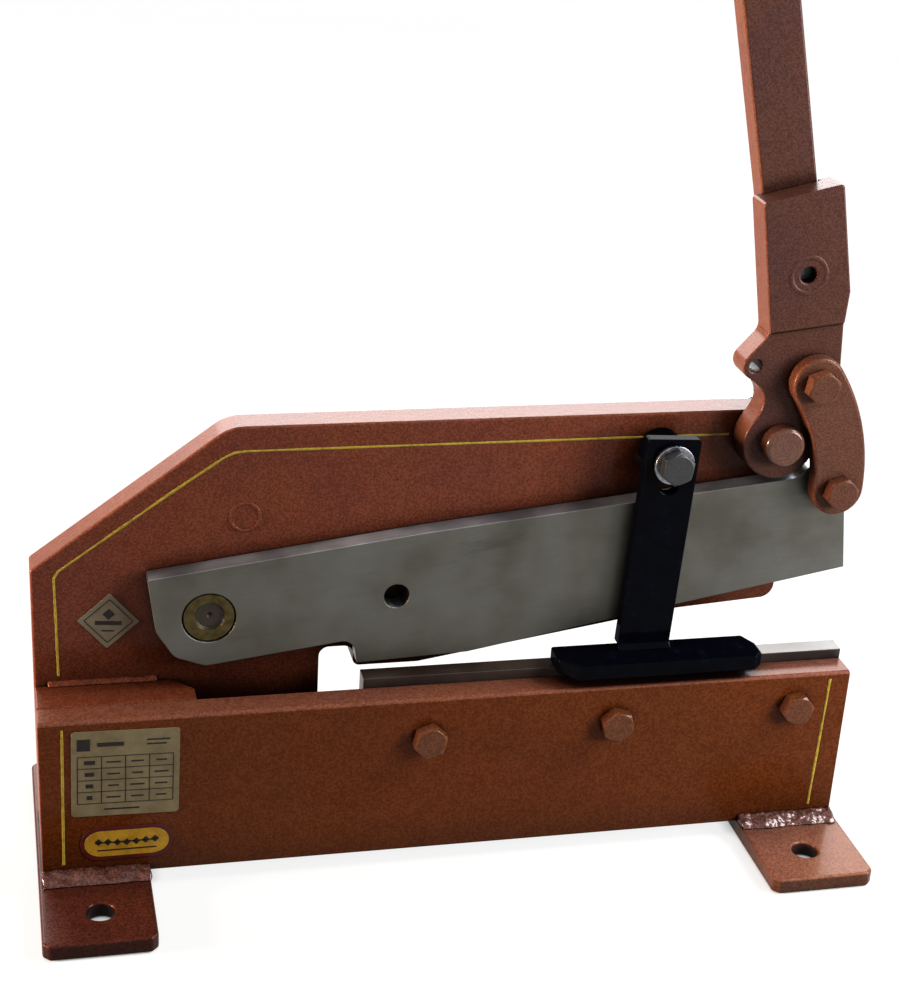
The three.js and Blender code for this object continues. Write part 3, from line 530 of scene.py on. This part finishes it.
linePaint = makeFilm("paintYellowLine", "#7a6a20", "#a08c30", size=3.0)
labelFoil = makeFilm("foilCream", "#645840", "#75694e", roughness=0.45, size=9.0)
silverFoil = makeFilm("foilSilver", "#62584a", "#706856", roughness=0.45, size=9.0)
ovalFoil = makeFilm("foilYellow", "#8a6416", "#a88022", roughness=0.4, size=8.0)
inkDark = makeFilm("inkDark", "#0c0907", "#171210")
inkRed = makeFilm("inkRed", "#330805", "#430e08")

print("materials made")


# plates, bars and washers: rounded copies of the CAD nodes

def through(axis, *nodes):  # splits through the middles of round nodes
    return [(axis, middle(node).x if axis == "x" else middle(node).z) for node in nodes]


boltNodes = ["blade_bolt_%d" % i for i in (1, 2, 3)]
knifeHoleX = -35.7  # mm, and so are the other holes that have no node of their own
lobeHoleZ = 303.1
linkHighZ = 292.0
slotZ = 240.0
footHoleX = 213.0

painted = {"body": "frame", "slot": "hammer_enamel"}
blackened = {"body": "hold_down", "slot": "black_paint", "finish": blackPaint, "segments": 3}
washer = {"edge": 0.4, "segments": 2, "finish": zincPlate, "body": "frame", "slot": "zinc_steel"}

roundedPieces = {  # edge radius in mm, bevel segments, finish, body, slot, and splits through its holes
    "back_plate": {**painted, "edge": 1.5, "segments": 3, "finish": plateEnamel,
                   "splits": through("x", "knife_pivot_pin", "lever_pin", "clamp_bolt")},
    "front_plate": {**painted, "edge": 0.9, "segments": 2, "finish": frontEnamel,
                    "splits": through("x", *boltNodes)},
    "end_spacer": {**painted, "edge": 1.2, "segments": 2, "finish": plateEnamel, "splits": []},
    "low_spacer": {**painted, "edge": 0.6, "segments": 2, "finish": frontEnamel, "splits": []},
    "left_foot": {**painted, "edge": 1.6, "segments": 3, "finish": shadedFootEnamel,
                  "splits": [("x", -footHoleX)]},
    "right_foot": {**painted, "edge": 1.6, "segments": 3, "finish": litFootEnamel,
                   "splits": [("x", footHoleX)]},
    "lower_blade": {"edge": 0.35, "segments": 2, "finish": bladeSteel, "body": "frame", "slot": "blade_steel",
                    "splits": through("x", *boltNodes)},
    "knife": {"edge": 0.6, "segments": 2, "finish": knifeSteel, "body": "knife", "slot": "knife_steel",
              "splits": through("x", "knife_pivot_pin", "link_low_bolt") + [("x", knifeHoleX)]},
    "lever_head": {**painted, "edge": 1.3, "segments": 3, "finish": leverEnamel, "body": "lever",
                   "splits": through("z", "lever_pin", "link_high_bolt", "bar_screw") + [("z", lobeHoleZ)]},
    "lever_bar": {**painted, "edge": 1.6, "segments": 3, "finish": leverEnamel, "body": "lever",
                  "splits": through("z", "bar_screw")},
    "link_plate": {**painted, "edge": 2.0, "segments": 4, "finish": linkEnamel, "body": "link",
                   "splits": through("z", "link_low_bolt") + [("z", linkHighZ)]},
    "hold_down_arm": {**blackened, "edge": 0.9, "splits": [("z", slotZ)]},
    "hold_down_shoe": {**blackened, "edge": 1.3, "splits": []},
    "clamp_spacer": {**blackened, "edge": 0.5, "segments": 2, "body": "frame",
                     "splits": through("x", "clamp_bolt")},
    "clamp_washer": {**washer, "splits": through("x", "clamp_bolt")},
    "knife_pivot_washer": {**washer, "splits": through("x", "knife_pivot_pin")},
    "lever_pin_washer": {**washer, "splits": through("x", "lever_pin")},
    "link_low_spacer": {**washer, "finish": phosphate, "body": "knife",
                        "splits": through("x", "link_low_bolt")},
    "link_low_washer": {**washer, "body": "knife", "splits": through("x", "link_low_bolt")},
    "link_high_washer": {**washer, "body": "link", "splits": through("x", "link_high_bolt")},
    "bar_screw_washer": {**washer, "body": "lever", "splits": through("x", "bar_screw")},
}

for node, p in roundedPieces.items():
    piece = mergedCopy(node, node + ".worked", p["splits"])
    rounded(piece, p["edge"], p["segments"])
    dressed(piece, p["finish"], p["body"], p["slot"], node)

# painted highlight: the paler steel on the knife's upward faces, its ground back
facesTowards("knife.worked", knifeBackHighlightSteel, (0, 0, 1), 0.9)
# painted light: paler enamel on the plates' upward faces, and on the lever's and link's left sides
for name in ("front_plate", "back_plate"):  # paler enamel on the edges that look up
    facesTowards(name + ".worked", paintedLightEnamel, (0, 0, 1), 0.3)
for name in ("lever_head", "lever_bar", "link_plate"):  # and on the lever's and link's left sides
    facesTowards(name + ".worked", paintedLightEnamel, (-1, 0, 0), 0.5)
print("plates, bars and washers rounded")


# screws and nuts: a chamfered hexagon on a shank with a rolled thread

screwSizes = {  # mm, by thread
    "m12": {"flats": 18, "head": 7.5, "radius": 6, "pitch": 1.75},
    "m10": {"flats": 17, "head": 6.5, "radius": 4.5, "pitch": 1.5},
}
nutSizes = {
    "knife_pivot_nut": {"flats": 30, "bore": 10.3},
    "lever_pin_nut": {"flats": 24, "bore": 8.3},
    "link_low_nut": {"flats": 18, "bore": 6.3},
    "link_high_nut": {"flats": 18, "bore": 6.3},
}
hexagonCut = {
    "slope": math.tan(math.radians(30)),
    "faceShare": 0.95,  # the flat face's width over the flats
    "wideShare": 1.08,  # the chamfer tool's radius over the corners'
    "lead": 0.3,  # mm past the face
    "sides": 96,
    "edge": 0.22,  # mm, the head's rounded edges
    "nutEdge": 0.2,
}
threadDepthShare = 0.54  # of the pitch
shankOverlap = 0.2  # mm, the shank's start inside its head
boreLead = 1.2  # mm, the chamfer at a nut's bore
boreOverrun = 0.1


def hexagon(name, flats, start, end, cutStart, cutEnd):
    p = hexagonCut
    corner = flats / math.sqrt(3)
    face = p["faceShare"] * flats / 2
    wide = p["wideShare"] * corner
    drop = (wide - face) * p["slope"]
    tip = face - p["lead"] / p["slope"]
    prism = extruded(name, [(corner, start), (corner, end)], 6)
    steps = [(tip, start - p["lead"]), (wide, start + drop)] if cutStart else [(wide, start - p["lead"])]
    steps += [(wide, end - drop), (tip, end + p["lead"])] if cutEnd else [(wide, end + p["lead"])]
    return cutBy(prism, extruded("chamferTool", steps, p["sides"]), "INTERSECT")


def threaded(radius, start, end, pitch):  # ring grooves of a rolled thread, with a chamfered end
    depth = threadDepthShare * pitch
    way = 1 if end > start else -1
    count = int(abs(end - start) / pitch)
    steps = [(radius, start)]
    for i in range(count):
        base = start + way * pitch * i
        steps += [(radius - depth, base + way * pitch * 0.5), (radius, base + way * pitch)]
    steps.append((radius - depth, end))
    return steps


def screw(node, size, material, body, slot, threadLength, front=True):
    s = screwSizes[size]
    low, high = reach(node)
    centre = middle(node)
    head, bearing, tail = (low, low + s["head"], high) if front else (high, high - s["head"], low)
    way = 1 if front else -1
    block = hexagon(node + ".worked", s["flats"], min(head, bearing), max(head, bearing), front, not front)
    threadStart = tail - way * threadLength
    shank = extruded("shank", [(s["radius"], bearing - way * shankOverlap)]
                     + threaded(s["radius"], threadStart, tail, s["pitch"]), 32)
    turn = cornerAngle(frame["nodes"][node], centre.x, centre.z) - cornerAngle(block)
    rounded(block, hexagonCut["edge"], 2, 25)
    piece = placed(joined([block, shank], node + ".worked"), centre.x, centre.z, turn)
    pickOnly(piece)
    bpy.ops.object.shade_smooth_by_angle(angle=math.radians(25))
    return dressed(piece, material, body, slot, node)


def nut(node, body):
    s = nutSizes[node]
    low, high = reach(node)
    centre = middle(node)
    block = hexagon(node + ".worked", s["flats"], low, high, True, True)
    turn = cornerAngle(frame["nodes"][node], centre.x, centre.z) - cornerAngle(block)
    bore = s["bore"]
    mouth = bore + boreLead
    tool = extruded("boreTool", [(mouth, low - boreOverrun), (bore, low + boreLead), (bore, high - boreLead),
                                 (mouth, high + boreOverrun)], 48)
    cutBy(block, tool)
    rounded(block, hexagonCut["nutEdge"], 2, 25)
    placed(block, centre.x, centre.z, turn)
    return dressed(block, zincPlate, body, "zinc_steel", node)


for name in boltNodes:
    screw(name, "m12", boltEnamel, "frame", "hammer_enamel", 10)
screw("link_low_bolt", "m12", linkEnamel, "knife", "hammer_enamel", 22)
screw("link_high_bolt", "m12", linkEnamel, "link", "hammer_enamel", 22)
screw("clamp_bolt", "m12", phosphate, "frame", "black_paint", 18)
screw("bar_screw", "m10", phosphate, "lever", "zinc_steel", 12, front=False)
nut("knife_pivot_nut", "frame")
nut("lever_pin_nut", "frame")
nut("link_low_nut", "knife")
nut("link_high_nut", "link")
# painted highlight: the paler enamel goes on the bolt facets that face the upper left
for name in boltNodes + ["link_low_bolt", "link_high_bolt"]:  # paler on the facets at the upper left
    facesTowards(name + ".worked", paintedLightEnamel, (-0.9, 0, 0.43), 0.6)
print("screws and nuts made")


# pins

leverPin = {"head": 12.3, "rim": 2.8, "rimSteps": 6, "journal": 10, "thread": 8, "bearing": -6.8, "rear": 32,
            "pitch": 2.0, "sides": 72}
shoulderStep = 0.01  # mm, a face square to the axis is drawn that much aslant


def makeLeverPin():
    p = leverPin
    centre = middle("lever_pin")
    low, high = reach("lever_pin")
    steps = []
    for i in range(p["rimSteps"] + 1):  # the rim's round, a quarter circle
        a = math.pi / 2 * i / p["rimSteps"]
        steps.append((p["head"] - p["rim"] + p["rim"] * math.sin(a), low + p["rim"] * (1 - math.cos(a))))
    steps += [(p["head"], p["bearing"]), (p["journal"], p["bearing"] + shoulderStep),
              (p["journal"], p["rear"] - shoulderStep)]
    steps += threaded(p["thread"], p["rear"], high, p["pitch"])
    piece = rounded(extruded("lever_pin.worked", steps, p["sides"]), 0)
    placed(piece, centre.x, centre.z)
    return dressed(piece, pinEnamel, "frame", "hammer_enamel", "lever_pin")


pivotPin = {
    "face": 15.3, "rim": 0.8, "recess": 8.6, "recessDepth": 2.3, "fillet": 0.9, "centreHole": 1.7,
    "lip": 0.5, "lipDepth": 0.4, "taper": 0.2, "drillTip": 0.2, "drillSlope": 0.05,
    "bareFrom": 0.3, "bareTo": 3,  # depths between which the recess shows bare steel
    "offset": (0.5, 0.6),  # the recess was turned a little off the axis
    "stem": 12, "shoulder": 11.7, "rear": 32, "thread": 10, "pitch": 2.5, "edge": 0.15,
}


def makePivotPin():
    p = pivotPin
    centre = middle("knife_pivot_pin")
    low, high = reach("knife_pivot_pin")
    steps = [(p["face"] - p["rim"], low), (p["face"], low + p["rim"]), (p["face"], p["shoulder"]),
             (p["stem"], p["shoulder"] + shoulderStep), (p["stem"], p["rear"] - shoulderStep)]
    steps += threaded(p["thread"], p["rear"], high, p["pitch"])
    piece = extruded("knife_pivot_pin.worked", steps, 96)
    deep = low + p["recessDepth"]
    hollow = [(p["recess"] + p["lip"], low - p["lip"]), (p["recess"], low + p["lipDepth"]),
              (p["recess"] - p["taper"], deep - p["fillet"]), (p["recess"] - p["fillet"], deep),
              (p["centreHole"], deep + p["drillSlope"]), (p["drillTip"], deep + p["centreHole"])]
    tool = extruded("recessTool", hollow, 64)
    placed(tool, *p["offset"])
    cutBy(piece, tool)
    rounded(piece, p["edge"], 2)
    placed(piece, centre.x, centre.z)
    dressed(piece, yellowZinc, "frame", "passivated_steel", "knife_pivot_pin")
    piece.data.materials.append(boreSteel)
    middleX, middleZ = (centre.x + p["offset"][0]) * mm, (centre.z + p["offset"][1]) * mm
    for face in piece.data.polygons:  # the turned recess shows bare oily steel
        away = math.hypot(face.center.x - middleX, face.center.z - middleZ)
        inside = (low + p["bareFrom"]) * mm < face.center.y < (deep + p["bareTo"]) * mm
        if inside and away < (p["recess"] + p["taper"]) * mm:
            face.material_index = 1
    return piece


makeLeverPin()
makePivotPin()
print("pins turned")


# welds: hand-laid beads, rough with ripples and pits, under the same paint

weldBead = {"voxel": 0.75, "lump": 9.0, "lumpDepth": 2.6, "ripple": 3.2, "rippleDepth": 0.9}  # mm


def clouds(name, size):  # size in mm
    texture = bpy.data.textures.new(name, "CLOUDS")
    texture.noise_scale = size * mm
    texture.noise_depth = 2
    return texture


lumpTexture = clouds("weldLumps", weldBead["lump"])
rippleTexture = clouds("weldRipples", weldBead["ripple"])


def weld(node, material, body, slot, share=1.0):  # the share is the bead's roughness, 1 on the thickest
    p = weldBead
    piece = mergedCopy(node, node + ".worked", dissolve=0.1)
    modified(piece, "REMESH", mode="VOXEL", voxel_size=p["voxel"] * mm * (0.5 + 0.5 * share))
    modified(piece, "SMOOTH", factor=0.5, iterations=2)
    modified(piece, "DISPLACE", texture=lumpTexture, strength=p["lumpDepth"] * mm * share, mid_level=0.45)
    modified(piece, "DISPLACE", texture=rippleTexture, strength=p["rippleDepth"] * mm * share, mid_level=0.5)
    pickOnly(piece)
    bpy.ops.object.shade_smooth()
    return dressed(piece, material, body, slot, node)


for side in ("left", "right"):
    for end in ("front", "rear"):
        weld("%s_%s_weld" % (side, end), weldEnamel, "frame", "painted_weld")
weld("ledge_weld", plateEnamel, "frame", "painted_weld", 0.6)
weld("hold_down_weld", blackPaint, "hold_down", "black_paint", 0.3)
print("welds laid")


# grip: a dipped vinyl sleeve with finger ribs

grip = {
    "ribs": 13, "pitch": 9.0, "start": 10, "groove": 2.6, "depth": 0.9, "edge": 0.9,  # mm
    "cuts": (0.0, 0.3, 0.7, 1.0),  # across a groove, as shares of its width
    "floor": 0.25,
    "lean": 13.2,  # degrees
}


def editSelection(piece):  # edit mode with the selection made in code
    pickOnly(piece)
    for polygon in piece.data.polygons:
        polygon.select = all(piece.data.vertices[i].select for i in polygon.vertices)
    bpy.ops.object.mode_set(mode="EDIT")
    bpy.ops.mesh.select_mode(type="VERT")


def makeGrip():
    p = grip
    piece = mergedCopy("hand_grip", "hand_grip.worked")
    lean = math.radians(p["lean"])
    along = Vector((-math.sin(lean), 0, math.cos(lean)))
    start = min(v.co.dot(along) for v in piece.data.vertices) + p["start"] * mm
    editMode(piece)
    bands = []
    for i in range(p["ribs"]):
        for share in p["cuts"]:
            level = start + (p["pitch"] * i + p["groove"] * share) * mm
            bpy.ops.mesh.select_all(action="SELECT")
            bpy.ops.mesh.bisect(plane_co=along * level, plane_no=along)
        bands.append(start + (p["pitch"] * i + p["groove"] / 2) * mm)
    objectMode()
    for vertex in piece.data.vertices:  # draws the groove floors in towards the sleeve's middle
        level = vertex.co.dot(along)
        away = min(abs(level - band) for band in bands)
        vertex.select = away < p["groove"] * p["floor"] * mm
    editSelection(piece)
    bpy.ops.transform.shrink_fatten(value=-p["depth"] * mm)
    objectMode()
    rounded(piece, p["edge"], 3, 50, 60)
    return dressed(piece, gripVinyl, "lever", "grip_rubber", "hand_grip")


makeGrip()
print("grip ribbed")


# painted lines and labels

paintLines = {  # mm; each line's points are x and z
    "width": 1.5, "rise": 0.22, "unevenness": 0.22, "step": 9.0,
    "back": [(-230.0, 118.5), (-230.9, 181.0), (-228.1, 185.5), (-163.3, 231.9), (-134.8, 251.2),
             (-129.5, 253.6), (-123.0, 254.4), (164.0, 254.2)],
    "left": [(-230.4, 108.0), (-231.7, 18.5)],
    "right": [(231.0, 108.2), (228.7, 18.5)],
}
brush = random.Random(7)


def paintLine(name, points, faceY):
    # A brushed line: a curve as wide as the line, flattened to a film, thick and thin by hand
    p = paintLines
    path = []
    for (x0, z0), (x1, z1) in zip(points, points[1:]):
        count = max(1, round(math.hypot(x1 - x0, z1 - z0) / p["step"]))
        path += [(x0 + (x1 - x0) * i / count, z0 + (z1 - z0) * i / count) for i in range(count)]
    path.append(points[-1])
    data = bpy.data.curves.new(name, "CURVE")
    data.dimensions = "3D"
    data.bevel_depth = p["width"] / 2 * mm
    data.bevel_resolution = 2
    data.use_fill_caps = True
    spline = data.splines.new("POLY")
    spline.points.add(len(path) - 1)
    for point, (x, z) in zip(spline.points, path):
        point.co = (x * mm, 0, z * mm, 1)
        point.radius = 1 + brush.uniform(-1, 1) * p["unevenness"]
    item = bpy.data.objects.new(name, data)
    bpy.context.scene.collection.objects.link(item)
    pickOnly(item)
    bpy.ops.object.convert(target="MESH")
    piece = named(name)
    piece.scale = (1, 2 * p["rise"] / p["width"], 1)
    piece.location = (0, faceY * mm, 0)
    applied(piece)
    bpy.ops.object.shade_smooth()
    return dressed(outward(piece), linePaint, "frame", "hammer_enamel")


backFaceY = reach("back_plate")[0]
frontFaceY = reach("front_plate")[0]
paintLine("back_line", paintLines["back"], backFaceY)
paintLine("left_line", paintLines["left"], frontFaceY)
paintLine("right_line", paintLines["right"], frontFaceY)

inkFilm = 0.12  # mm


def printed(name, bars, node, turn=0.0):
    # Ink on a label: flat bars (x, z, width, height, turn) round the label's middle, given a film's thickness
    centre = middle(node)
    face = reach(node)[0]
    pieces = []
    for x, z, width, height, *lean in bars:
        bpy.ops.object.select_all(action="DESELECT")
        bpy.ops.mesh.primitive_plane_add(size=1, rotation=(math.pi / 2, 0, 0))
        bar = applied(named("bar"))
        bar.scale = (width * mm, 1, height * mm)
        bar.rotation_euler = (0, math.radians(lean[0]) if lean else 0, 0)
        bar.location = (x * mm, 0, z * mm)
        pieces.append(applied(bar))
    piece = joined(pieces, name)
    modified(piece, "SOLIDIFY", thickness=inkFilm * mm, offset=0)
    piece.location = (centre.x * mm, (face - inkFilm / 4) * mm, centre.z * mm)
    piece.rotation_euler = (0, math.radians(turn), 0)
    applied(piece)
    return dressed(outward(piece), inkDark, "frame", "label_foil")


def lifted(piece):  # brings an ink or foil forward by one film
    editMode(piece)
    bpy.ops.transform.translate(value=(0, -inkFilm * mm, 0))
    objectMode()


labelFoils = {  # each label's own foil and its rounded edge in mm
    "rating_label": {"finish": labelFoil, "edge": 0.12},
    "oval_label": {"finish": inkRed, "edge": 0.15},
    "diamond_label": {"finish": silverFoil, "edge": 0.12},
}
ratingPrint = {  # mm; bars are x, z, width and height
    "left": -27.0, "right": 27.0, "top": 11.5, "bottom": -19.5, "rows": 4, "columns": 4, "rule": 0.5,
    "dash": 1.0, "dashLength": 6.0, "blockWidth": 3.2, "blockHeight": 2.6, "turn": 1.2,
    "heading": [(-23.6, 19.2, 7.4, 7.6), (-8.5, 19.2, 15.0, 2.6), (18.5, 21.2, 13.0, 1.0),
                (17.5, 18.4, 11.0, 1.0), (-2.0, -23.6, 20.0, 1.0)],
}


def ratingBars():
    # A ruled load table with plain dashes in place of its words, a dark block and a heading bar above it
    p = ratingPrint
    width, height = p["right"] - p["left"], p["top"] - p["bottom"]
    middleX, middleZ = (p["left"] + p["right"]) / 2, (p["top"] + p["bottom"]) / 2
    bars = [(middleX, p["bottom"] + height * i / p["rows"], width, p["rule"]) for i in range(p["rows"] + 1)]
    bars += [(p["left"] + width * i / p["columns"], middleZ, p["rule"], height)
             for i in range(p["columns"] + 1)]
    for row in range(p["rows"]):
        for column in range(p["columns"]):
            x = p["left"] + width * (column + 0.5) / p["columns"]
            z = p["bottom"] + height * (row + 0.5) / p["rows"]
            if column == 0:
                bars.append((x, z, p["blockWidth"] + row, p["blockHeight"]))
            else:
                bars.append((x, z, p["dashLength"] + (row + 2 * column) % 3, p["dash"]))
    return bars + p["heading"]


ovalPrint = {
    "fieldWidth": 0.91, "fieldHeight": 0.78, "edge": 0.1,  # the yellow field, as shares of the label
    "lozenges": 7, "pitch": 5.4, "size": 3.3, "row": 0.8, "sway": 0.5,  # mm
    "rules": [(0, -4.4, 34, 0.9), (0, 0.8, 36, 0.9)],
}


def makeOvalPrint(field):
    p = ovalPrint
    centre = middle("oval_label")
    editMode(field)
    bpy.ops.transform.resize(value=(p["fieldWidth"], 1, p["fieldHeight"]), center_override=tuple(centre * mm))
    objectMode()
    lifted(field)
    rounded(field, p["edge"], 2)
    dressed(field, ovalFoil, "frame", "label_foil")
    half = (p["lozenges"] - 1) / 2
    lozenges = [((i - half) * p["pitch"], p["row"] + p["sway"] * math.cos(i), p["size"], p["size"], 45)
                for i in range(p["lozenges"])]
    lifted(printed("oval_print", lozenges + p["rules"], "oval_label"))


diamondPrint = {  # mm and degrees
    "side": 19.5, "rule": 0.5, "turn": 49,
    "rows": [(0, -1.2, 15.0, 2.6), (0, 4.4, 5.0, 5.0, 45), (0, -6.2, 7.0, 0.9)], "rowTurn": 4,
}


def makeDiamondPrint():
    p = diamondPrint
    side, rule = p["side"], p["rule"]
    frameBars = [(way * side / 2, 0, rule, side) for way in (-1, 1)]
    frameBars += [(0, way * side / 2, side, rule) for way in (-1, 1)]
    printed("diamond_frame", frameBars, "diamond_label", p["turn"])
    printed("diamond_print", p["rows"], "diamond_label", p["rowTurn"])


field = mergedCopy("oval_label", "oval_field")
for node, p in labelFoils.items():
    piece = rounded(mergedCopy(node, node + ".worked"), p["edge"], 2)
    dressed(piece, p["finish"], "frame", "label_foil", node)
printed("rating_print", ratingBars(), "rating_label", ratingPrint["turn"])
makeOvalPrint(field)
makeDiamondPrint()
print("lines and labels painted")


# small marks in the steel

stamp = {"x": -123.0, "z": 214.0, "radius": 8.5, "rim": 1.0, "flat": 0.6}  # mm, a plain ring
spotFace = {"radius": 10.5, "rim": 1.5, "flat": 0.22}  # round the tapped hole of the lever's head


def ringMark(name, p, x, z, y, material, body):
    bpy.ops.object.select_all(action="DESELECT")
    bpy.ops.mesh.primitive_torus_add(major_radius=p["radius"] * mm, minor_radius=p["rim"] * mm,
                                     major_segments=64, minor_segments=12, rotation=(math.pi / 2, 0, 0))
    piece = applied(named(name))
    editMode(piece)
    bpy.ops.transform.resize(value=(1, p["flat"], 1), center_override=(0, 0, 0))
    objectMode()
    piece.location = (x * mm, y * mm, z * mm)
    applied(piece)
    bpy.ops.object.shade_smooth()
    return dressed(outward(piece), material, body, "hammer_enamel")


ringMark("stamp_ring", stamp, stamp["x"], stamp["z"], backFaceY, plateEnamel, "frame")
spotCentre = middle("bar_screw")
ringMark("spot_face_ring", spotFace, spotCentre.x, spotCentre.z, reach("lever_head")[0], leverEnamel, "lever")
print("marks made")


# floor, world and lights

studio = {
    "floorSize": 30,  # metres
    "floorDrop": 0.0005,
    "floorColour": "#e4e3df",
    "floorUnseen": "#3e3e3d",  # what the light that bounces off it meets, so that it fills the shade less
    "nearGlow": 0.85,  # the floor's glow beside the object, and 1 farther away
    "fadeFrom": 0.5, "fadeTo": 3.0,  # metres
    "contactReach": 12,  # mm
    "skyColour": "#f2f4fa",
    "skyStrength": 0.16,
    "white": (1, 1, 1, 1),
}
softboxes = {  # place, aim and size in metres, power in watts
    "keySoftbox": {"place": (0.75, -0.5, 0.38), "aim": (0.1, 0, 0.15), "size": (0.35, 0.35), "power": 9.5,
                   "colour": "#ffffff"},
    "rightSoftbox": {"place": (0.9, -0.2, 0.9), "aim": (0.15, 0, 0.1), "size": (0.4, 0.4), "power": 19,
                     "colour": "#ffffff"},
    "leftSoftbox": {"place": (-2.0, -0.02, 0.4), "aim": (0, 0, 0.25), "size": (0.45, 0.45), "power": 140,
                    "colour": "#ffdcba"},
    "backSoftbox": {"place": (0.2, 2.3, 1.3), "aim": (0, 0, 0.2), "size": (3.2, 0.9), "power": 128,
                    "colour": "#ffffff"},
}


def seenDirectly(item):  # 1 for the rays that show the background: in the picture, mirrored or through glass
    rays = addNode(item, "ShaderNodeLightPath")
    either = addNode(item, "ShaderNodeMath", {"operation": "MAXIMUM"},
                     {0: rays.outputs["Is Camera Ray"], 1: rays.outputs["Is Glossy Ray"]})
    return addNode(item, "ShaderNodeMath", {"operation": "MAXIMUM"},
                   {0: either, 1: rays.outputs["Is Transmission Ray"]})


def makeStage():  # a pale matt floor that keeps the object's shadow and glows white away from it
    p = studio
    bpy.ops.object.select_all(action="DESELECT")
    bpy.ops.mesh.primitive_plane_add(size=p["floorSize"], location=(0, 0, -p["floorDrop"]))
    floor = named("floor")
    m, shader, place = startMaterial("floorPale", Roughness=0.9)
    seen = seenDirectly(m)
    colour = addNode(m, "ShaderNodeMix",
                     {**mixing, 6: toLinear(p["floorUnseen"]), 7: toLinear(p["floorColour"])}, {0: seen})
    link(m, colour, shader.inputs["Base Color"])
    away = addNode(m, "ShaderNodeVectorMath", {"operation": "LENGTH"}, {0: place}).outputs["Value"]
    fade = addNode(m, "ShaderNodeMapRange",
                   {"From Min": p["fadeFrom"], "From Max": p["fadeTo"], "To Min": p["nearGlow"]},
                   {"Value": away})
    # painted contact shadow: the white glow gives way to the lit floor where occlusion finds it hidden near
    # and under the object
    openFloor = addNode(m, "ShaderNodeMath", {"operation": "MULTIPLY"},
                        {0: fade, 1: paintedCornerShade(m, p["contactReach"], 0.1, 0.6, 0.1)})
    share = addNode(m, "ShaderNodeMath", {"operation": "MULTIPLY"}, {0: seen, 1: openFloor})
    glow = addNode(m, "ShaderNodeEmission", {"Color": p["white"], "Strength": 1.0})
    surface = addNode(m, "ShaderNodeMixShader", None, {0: share, 1: shader, 2: glow})
    link(m, surface, m.node_tree.nodes["Material Output"].inputs["Surface"])
    floor.data.materials.append(m)


def makeWorld():
    p = studio
    world = bpy.data.worlds.new("studio")
    bpy.context.scene.world = world
    world.use_nodes = True
    world.node_tree.nodes.clear()
    soft = addNode(world, "ShaderNodeBackground",
                   {"Color": toLinear(p["skyColour"]), "Strength": p["skyStrength"]})
    plain = addNode(world, "ShaderNodeBackground", {"Color": p["white"], "Strength": 1.0})
    sky = addNode(world, "ShaderNodeMixShader", None, {0: seenDirectly(world), 1: soft, 2: plain})
    addNode(world, "ShaderNodeOutputWorld", None, {"Surface": sky})


def makeLight(name, p):
    data = bpy.data.lights.new(name, "AREA")
    data.shape = "RECTANGLE"
    data.size, data.size_y = p["size"]
    data.energy = p["power"]
    data.color = toLinear(p["colour"])[:3]
    lamp = bpy.data.objects.new(name, data)
    bpy.context.scene.collection.objects.link(lamp)
    lamp.location = p["place"]
    lamp.rotation_mode = "QUATERNION"
    lamp.rotation_quaternion = (Vector(p["aim"]) - Vector(p["place"])).to_track_quat("-Z", "Y")
    lamp.visible_camera = False


makeStage()
makeWorld()
for name, p in softboxes.items():
    makeLight(name, p)
bpy.context.scene.view_settings.view_transform = "Standard"
print("stage and lights set")
